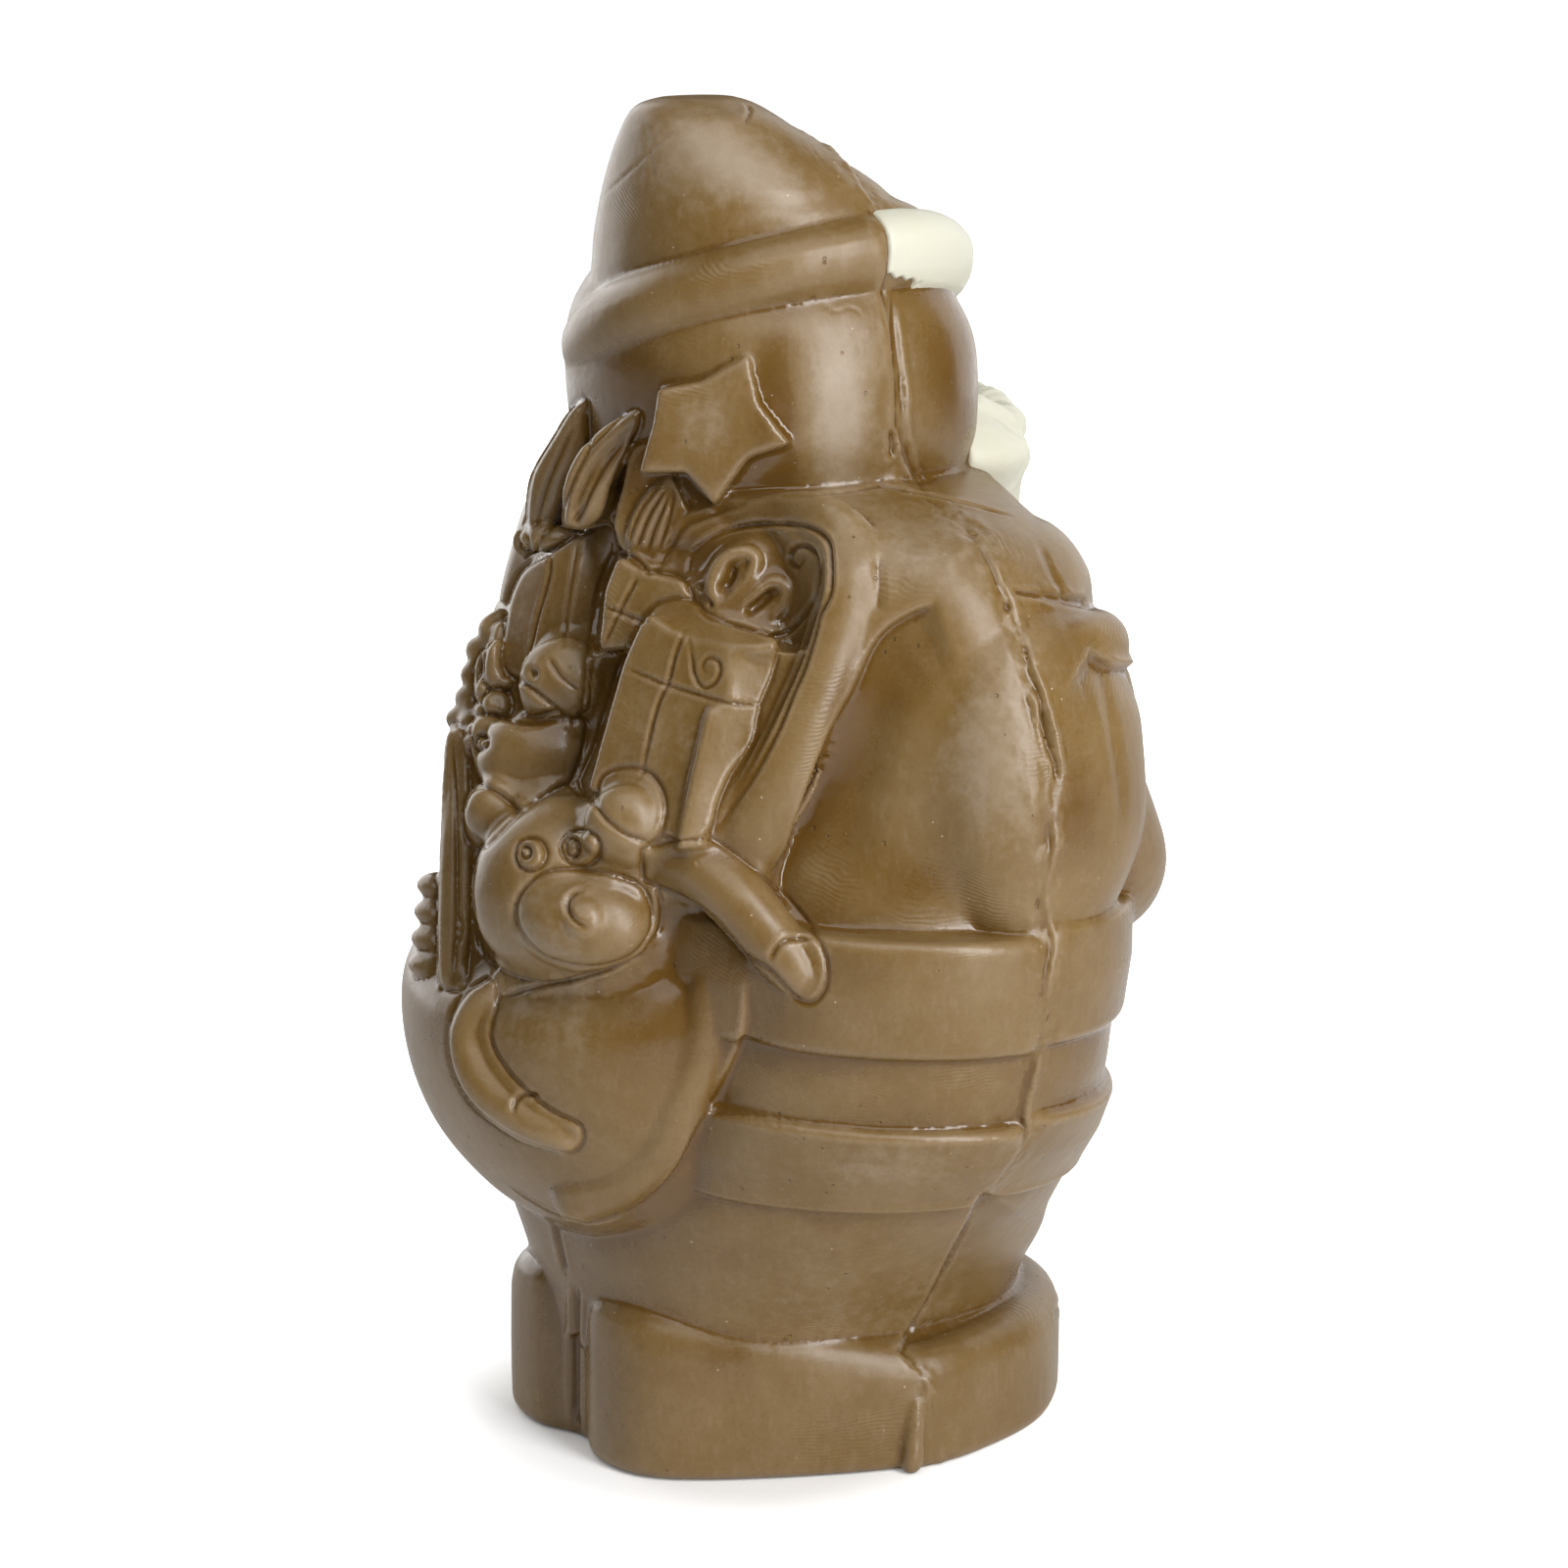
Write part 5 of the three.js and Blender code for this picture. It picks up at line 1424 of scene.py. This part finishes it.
class ChocolateSettings(bpy.types.PropertyGroup):
    milk: FloatVectorProperty(name="Milk", description="Milk chocolate", subtype="COLOR", size=3,
                              default=(0.15, 0.085, 0.02))
    bloom: FloatVectorProperty(name="Bloom", description="Where fat bloom clouds it", subtype="COLOR", size=3,
                               default=(0.2, 0.13, 0.054))
    # Painted shade: the dark colour of the creases, the hollows and the dark patches, also mixed in at random
    # as fine speckle
    glossy_shade: FloatVectorProperty(name="Gloss", description="Dark and glossy in the hollows", subtype="COLOR",
                               size=3, default=(0.098, 0.046, 0.007))
    # Pale haze in clouds at random, and the painted sheen of the pale patches
    haze_and_sheen: FloatVectorProperty(name="Haze", description="Where it is dull and pale", subtype="COLOR", size=3,
                              default=(0.27, 0.205, 0.135))
    # Rubbed wear, which on raised edges is also a painted edge highlight
    worn: FloatVectorProperty(name="Worn", description="Rubbed edges", subtype="COLOR", size=3,
                              default=(0.25, 0.172, 0.095))
    speck: FloatVectorProperty(name="Speck", description="Pale specks of dust", subtype="COLOR", size=3,
                               default=(0.5, 0.42, 0.3))
    white: FloatVectorProperty(name="White", description="White chocolate", subtype="COLOR", size=3,
                               default=(0.56, 0.55, 0.45))
    cream: FloatVectorProperty(name="Cream", description="Its creamier clouds", subtype="COLOR", size=3,
                               default=(0.55, 0.53, 0.41))


class StageSettings(bpy.types.PropertyGroup):
    floor: FloatVectorProperty(name="Floor", description="Plain floor", subtype="COLOR", size=3,
                               default=(0.9, 0.9, 0.9))
    # Painted glow of the table, seen by the camera only: dim in its painted shadow round the figure, brighter
    # beside it
    glow: FloatProperty(name="Glow", description="Light of the table in the shade", default=0.1, min=0)
    table: FloatProperty(name="Table", description="Light of the table beside the shade", default=0.6, min=0)
    room: FloatProperty(name="Room", description="Light from the dim room", default=0.06, min=0)
    key: FloatProperty(name="Key light", description="Power of the key light in watts", default=3.9, min=0)
    fill: FloatProperty(name="Fill light", description="Power of the fill light in watts", default=8.0, min=0)
    top: FloatProperty(name="Top light", description="Power of the overhead light in watts", default=4.6,
                       min=0)


# Cutting and casting

TOYS = (presents, bow, bear_head, bear_arms, small_toys)
FORMS = (boots, coat, hem_and_belt, buckle, buttons, head_and_face, beard_and_moustache, brim, hat, sack,
         rims, star, leaves, *TOYS)
# Cell of the filling between the toys
BED_CELL = 1.0
# Halves of the milk chocolate: which way of the seam they lie
HALVES = (("back_half", 1), ("front_half", -1))
# White chocolate: the form it lies on, how far back it reaches, and how it is worked
WHITE = (("white_hat_fur", brim, 0.9, bared), ("white_beard", beard_and_moustache, -17.0, combed))


def half_of(casting, name, facing):
    """One of the two halves that the casting was joined from."""
    whole = bmesh.new()
    whole.from_mesh(casting.data)
    cut_half(whole, 0, facing)
    bmesh.ops.triangulate(whole, faces=[face for face in whole.faces if len(face.verts) > 4])
    mesh = casting.data.copy()
    whole.to_mesh(mesh)
    whole.free()
    mesh.name = name
    piece = bpy.data.objects.new(name, mesh)
    bpy.context.scene.collection.objects.link(piece)
    return piece


# Operators

class CHOC_OT_milk_chocolate(bpy.types.Operator):
    """Cast the milk chocolate figure with the sack and its toys"""

    bl_idname = "choc.milk_chocolate"
    bl_label = "Cast milk chocolate"

    def execute(self, context):
        settings = context.scene.choc_casting
        whole = bedded((sack, rims, *TOYS), settings.roll / MM, settings.sink / MM, BED_CELL)
        for form in FORMS:
            form(whole)
        loft(whole, TROUSERS)
        arm(whole, -1)
        arm(whole, 1)
        relief = Relief("milk_chocolate", whole, settings.cell / MM)
        fine_relief(relief)
        shade_values(relief)
        triangles = sum(len(face.vertices) - 2 for face in relief.mesh.polygons)
        casting = thinned(relief.object, min(1.0, settings.triangles / triangles))
        casting.data.materials.clear()
        casting.data.materials.append(milk_chocolate(context.scene.choc_chocolate))
        for name, facing in HALVES:
            piece = half_of(casting, name, facing)
            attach(piece, "root")
            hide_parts("milk_chocolate_figure")
        bpy.data.objects.remove(casting)
        return {"FINISHED"}


class CHOC_OT_white_chocolate(bpy.types.Operator):
    """Cast the white chocolate of the hat fur and of the beard"""

    bl_idname = "choc.white_chocolate"
    bl_label = "Cast white chocolate"

    def execute(self, context):
        settings = context.scene.choc_casting
        material = white_chocolate(context.scene.choc_chocolate)
        proud = settings.proud / MM
        for name, form, y, worked in WHITE:
            whole = bmesh.new()
            form(whole, proud)
            cut_half(whole, y)
            relief = Relief(name + "_piece", whole, settings.white_cell / MM)
            relief.co = relief.smoothed(relief.co, 6, 0.5)
            relief.co = worked(relief.co, relief.normals())
            relief.store()
            piece = relief.object
            piece.data.polygons.foreach_set("use_smooth", [True] * len(piece.data.polygons))
            piece.data.materials.clear()
            piece.data.materials.append(material)
            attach(piece, "root")
            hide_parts(name)
        return {"FINISHED"}


# Stage, in metres

FLOOR_HALF = 4.0
# The table's glow, seen by the camera only, is painted dim round the figure as a painted shadow, where the
# cast shadow also shows. From the middle of that painted shadow to the figure, the radii between which the
# shade ends, and those between which the table turns plain white
SHADE_SHIFT = (0.006, -0.016, 0)
SHADE_RADII, TABLE_RADII = (0.0255, 0.047), (0.06, 0.14)
# Lights: name, the setting with its power and its share of that, width and height, compass angle from the
# camera's, elevation and distance
LIGHTS = [
    ("key", "key", 1.0, (0.2, 0.6), 37, 20, 0.62), ("left", "fill", 1.0, (1.0, 1.0), -138, 18, 1.0),
    ("right", "fill", 0.5, (1.0, 1.0), 142, 18, 1.0), ("top", "top", 1.0, (0.85, 0.85), 6, 60, 0.8),
]
LIGHT_TARGET = (0, 0, 0.1)
CLIP_START, CLIP_END = 0.05, 20


def soft_light(name, power, size, azimuth, elevation, distance):
    """An area light, by width and height, that looks at the middle of the figure."""
    data = bpy.data.lights.new(name, "AREA")
    data.shape, data.energy = "RECTANGLE", power
    data.size, data.size_y = size
    light = bpy.data.objects.new(name, data)
    away = direction(azimuth, elevation)
    light.location = Vector(LIGHT_TARGET) + away * distance
    light.rotation_euler = away.to_track_quat("Z", "Y").to_euler()
    bpy.context.scene.collection.objects.link(light)


class CHOC_OT_stage(bpy.types.Operator):
    """Set up the floor, the soft lights and the camera"""

    bl_idname = "choc.stage"
    bl_label = "Set the stage"

    def execute(self, context):
        settings = context.scene.choc_stage
        bm = bmesh.new()
        bmesh.ops.create_grid(bm, x_segments=1, y_segments=1, size=FLOOR_HALF)
        mesh = bpy.data.meshes.new("floor")
        bm.to_mesh(mesh)
        bm.free()
        floor = bpy.data.objects.new("floor", mesh)
        context.scene.collection.objects.link(floor)
        material, tree, shader = new_material("floor")
        shader.inputs["Base Color"].default_value = colour(settings.floor)
        shader.inputs["Roughness"].default_value = 0.9
        # Painted glow that only the camera sees: dim in a painted shadow off the figure's front left,
        # brighter further out, then plain white
        spot = place(tree, shift=SHADE_SHIFT)
        away = node(tree, "ShaderNodeVectorMath", {"operation": "LENGTH"}, {0: spot}, output=1)
        shade, table = (colour((light,) * 3) for light in (settings.glow, settings.table))
        glow = mixed(tree, away.between(*SHADE_RADII), shade, table)
        glow = mixed(tree, away.between(*TABLE_RADII), glow, (1, 1, 1, 1))
        glow = mixed(tree, node(tree, "ShaderNodeLightPath"), (0, 0, 0, 1), glow)
        tree.links.new(glow.socket, shader.inputs["Emission Color"])
        shader.inputs["Emission Strength"].default_value = 1.0
        mesh.materials.append(material)

        world = bpy.data.worlds.new("studio")
        world.use_nodes = True
        tree = world.node_tree
        seen = node(tree, "ShaderNodeLightPath")
        strength = seen * (1.0 - settings.room) + settings.room
        tree.links.new(strength.socket, tree.nodes["Background"].inputs["Strength"])
        tree.nodes["Background"].inputs["Color"].default_value = (1, 1, 1, 1)
        context.scene.world = world
        context.scene.view_settings.view_transform = "Standard"
        for name, setting, share, size, azimuth, elevation, distance in LIGHTS:
            power = getattr(settings, setting) * share
            soft_light(name, power, size, VIEW_AZIMUTH + azimuth, elevation, distance)

        camera = bpy.data.objects.new("camera", bpy.data.cameras.new("camera"))
        camera.data.sensor_width, camera.data.lens = SENSOR, VIEW_LENS
        camera.data.clip_start, camera.data.clip_end = CLIP_START, CLIP_END
        back = view_axes()[0]
        camera.location = (Vector(VIEW_TARGET) + back * VIEW_DISTANCE) * MM
        camera.rotation_euler = back.to_track_quat("Z", "Y").to_euler()
        context.scene.collection.objects.link(camera)
        context.scene.camera = camera
        return {"FINISHED"}


class CHOC_PT_panel(bpy.types.Panel):
    """Casts the pieces in order"""

    bl_idname = "CHOC_PT_panel"
    bl_label = "Chocolate Santa Claus"
    bl_space_type = "VIEW_3D"
    bl_region_type = "UI"
    bl_category = "Chocolate"

    def draw(self, context):
        for operator in OPERATORS:
            self.layout.operator(operator.bl_idname)


OPERATORS = (CHOC_OT_milk_chocolate, CHOC_OT_white_chocolate, CHOC_OT_stage)
SETTINGS = {"choc_casting": CastingSettings, "choc_chocolate": ChocolateSettings, "choc_stage": StageSettings}


def register():
    for cls in (*SETTINGS.values(), *OPERATORS, CHOC_PT_panel):
        bpy.utils.register_class(cls)
    for name, cls in SETTINGS.items():
        setattr(bpy.types.Scene, name, PointerProperty(type=cls))


def unregister():
    for name in SETTINGS:
        delattr(bpy.types.Scene, name)
    for cls in (CHOC_PT_panel, *OPERATORS[::-1], *list(SETTINGS.values())[::-1]):
        bpy.utils.unregister_class(cls)


def main():
    register()
    bpy.ops.choc.milk_chocolate()
    bpy.ops.choc.white_chocolate()
    bpy.ops.choc.stage()


if __name__ == "__main__":
    main()
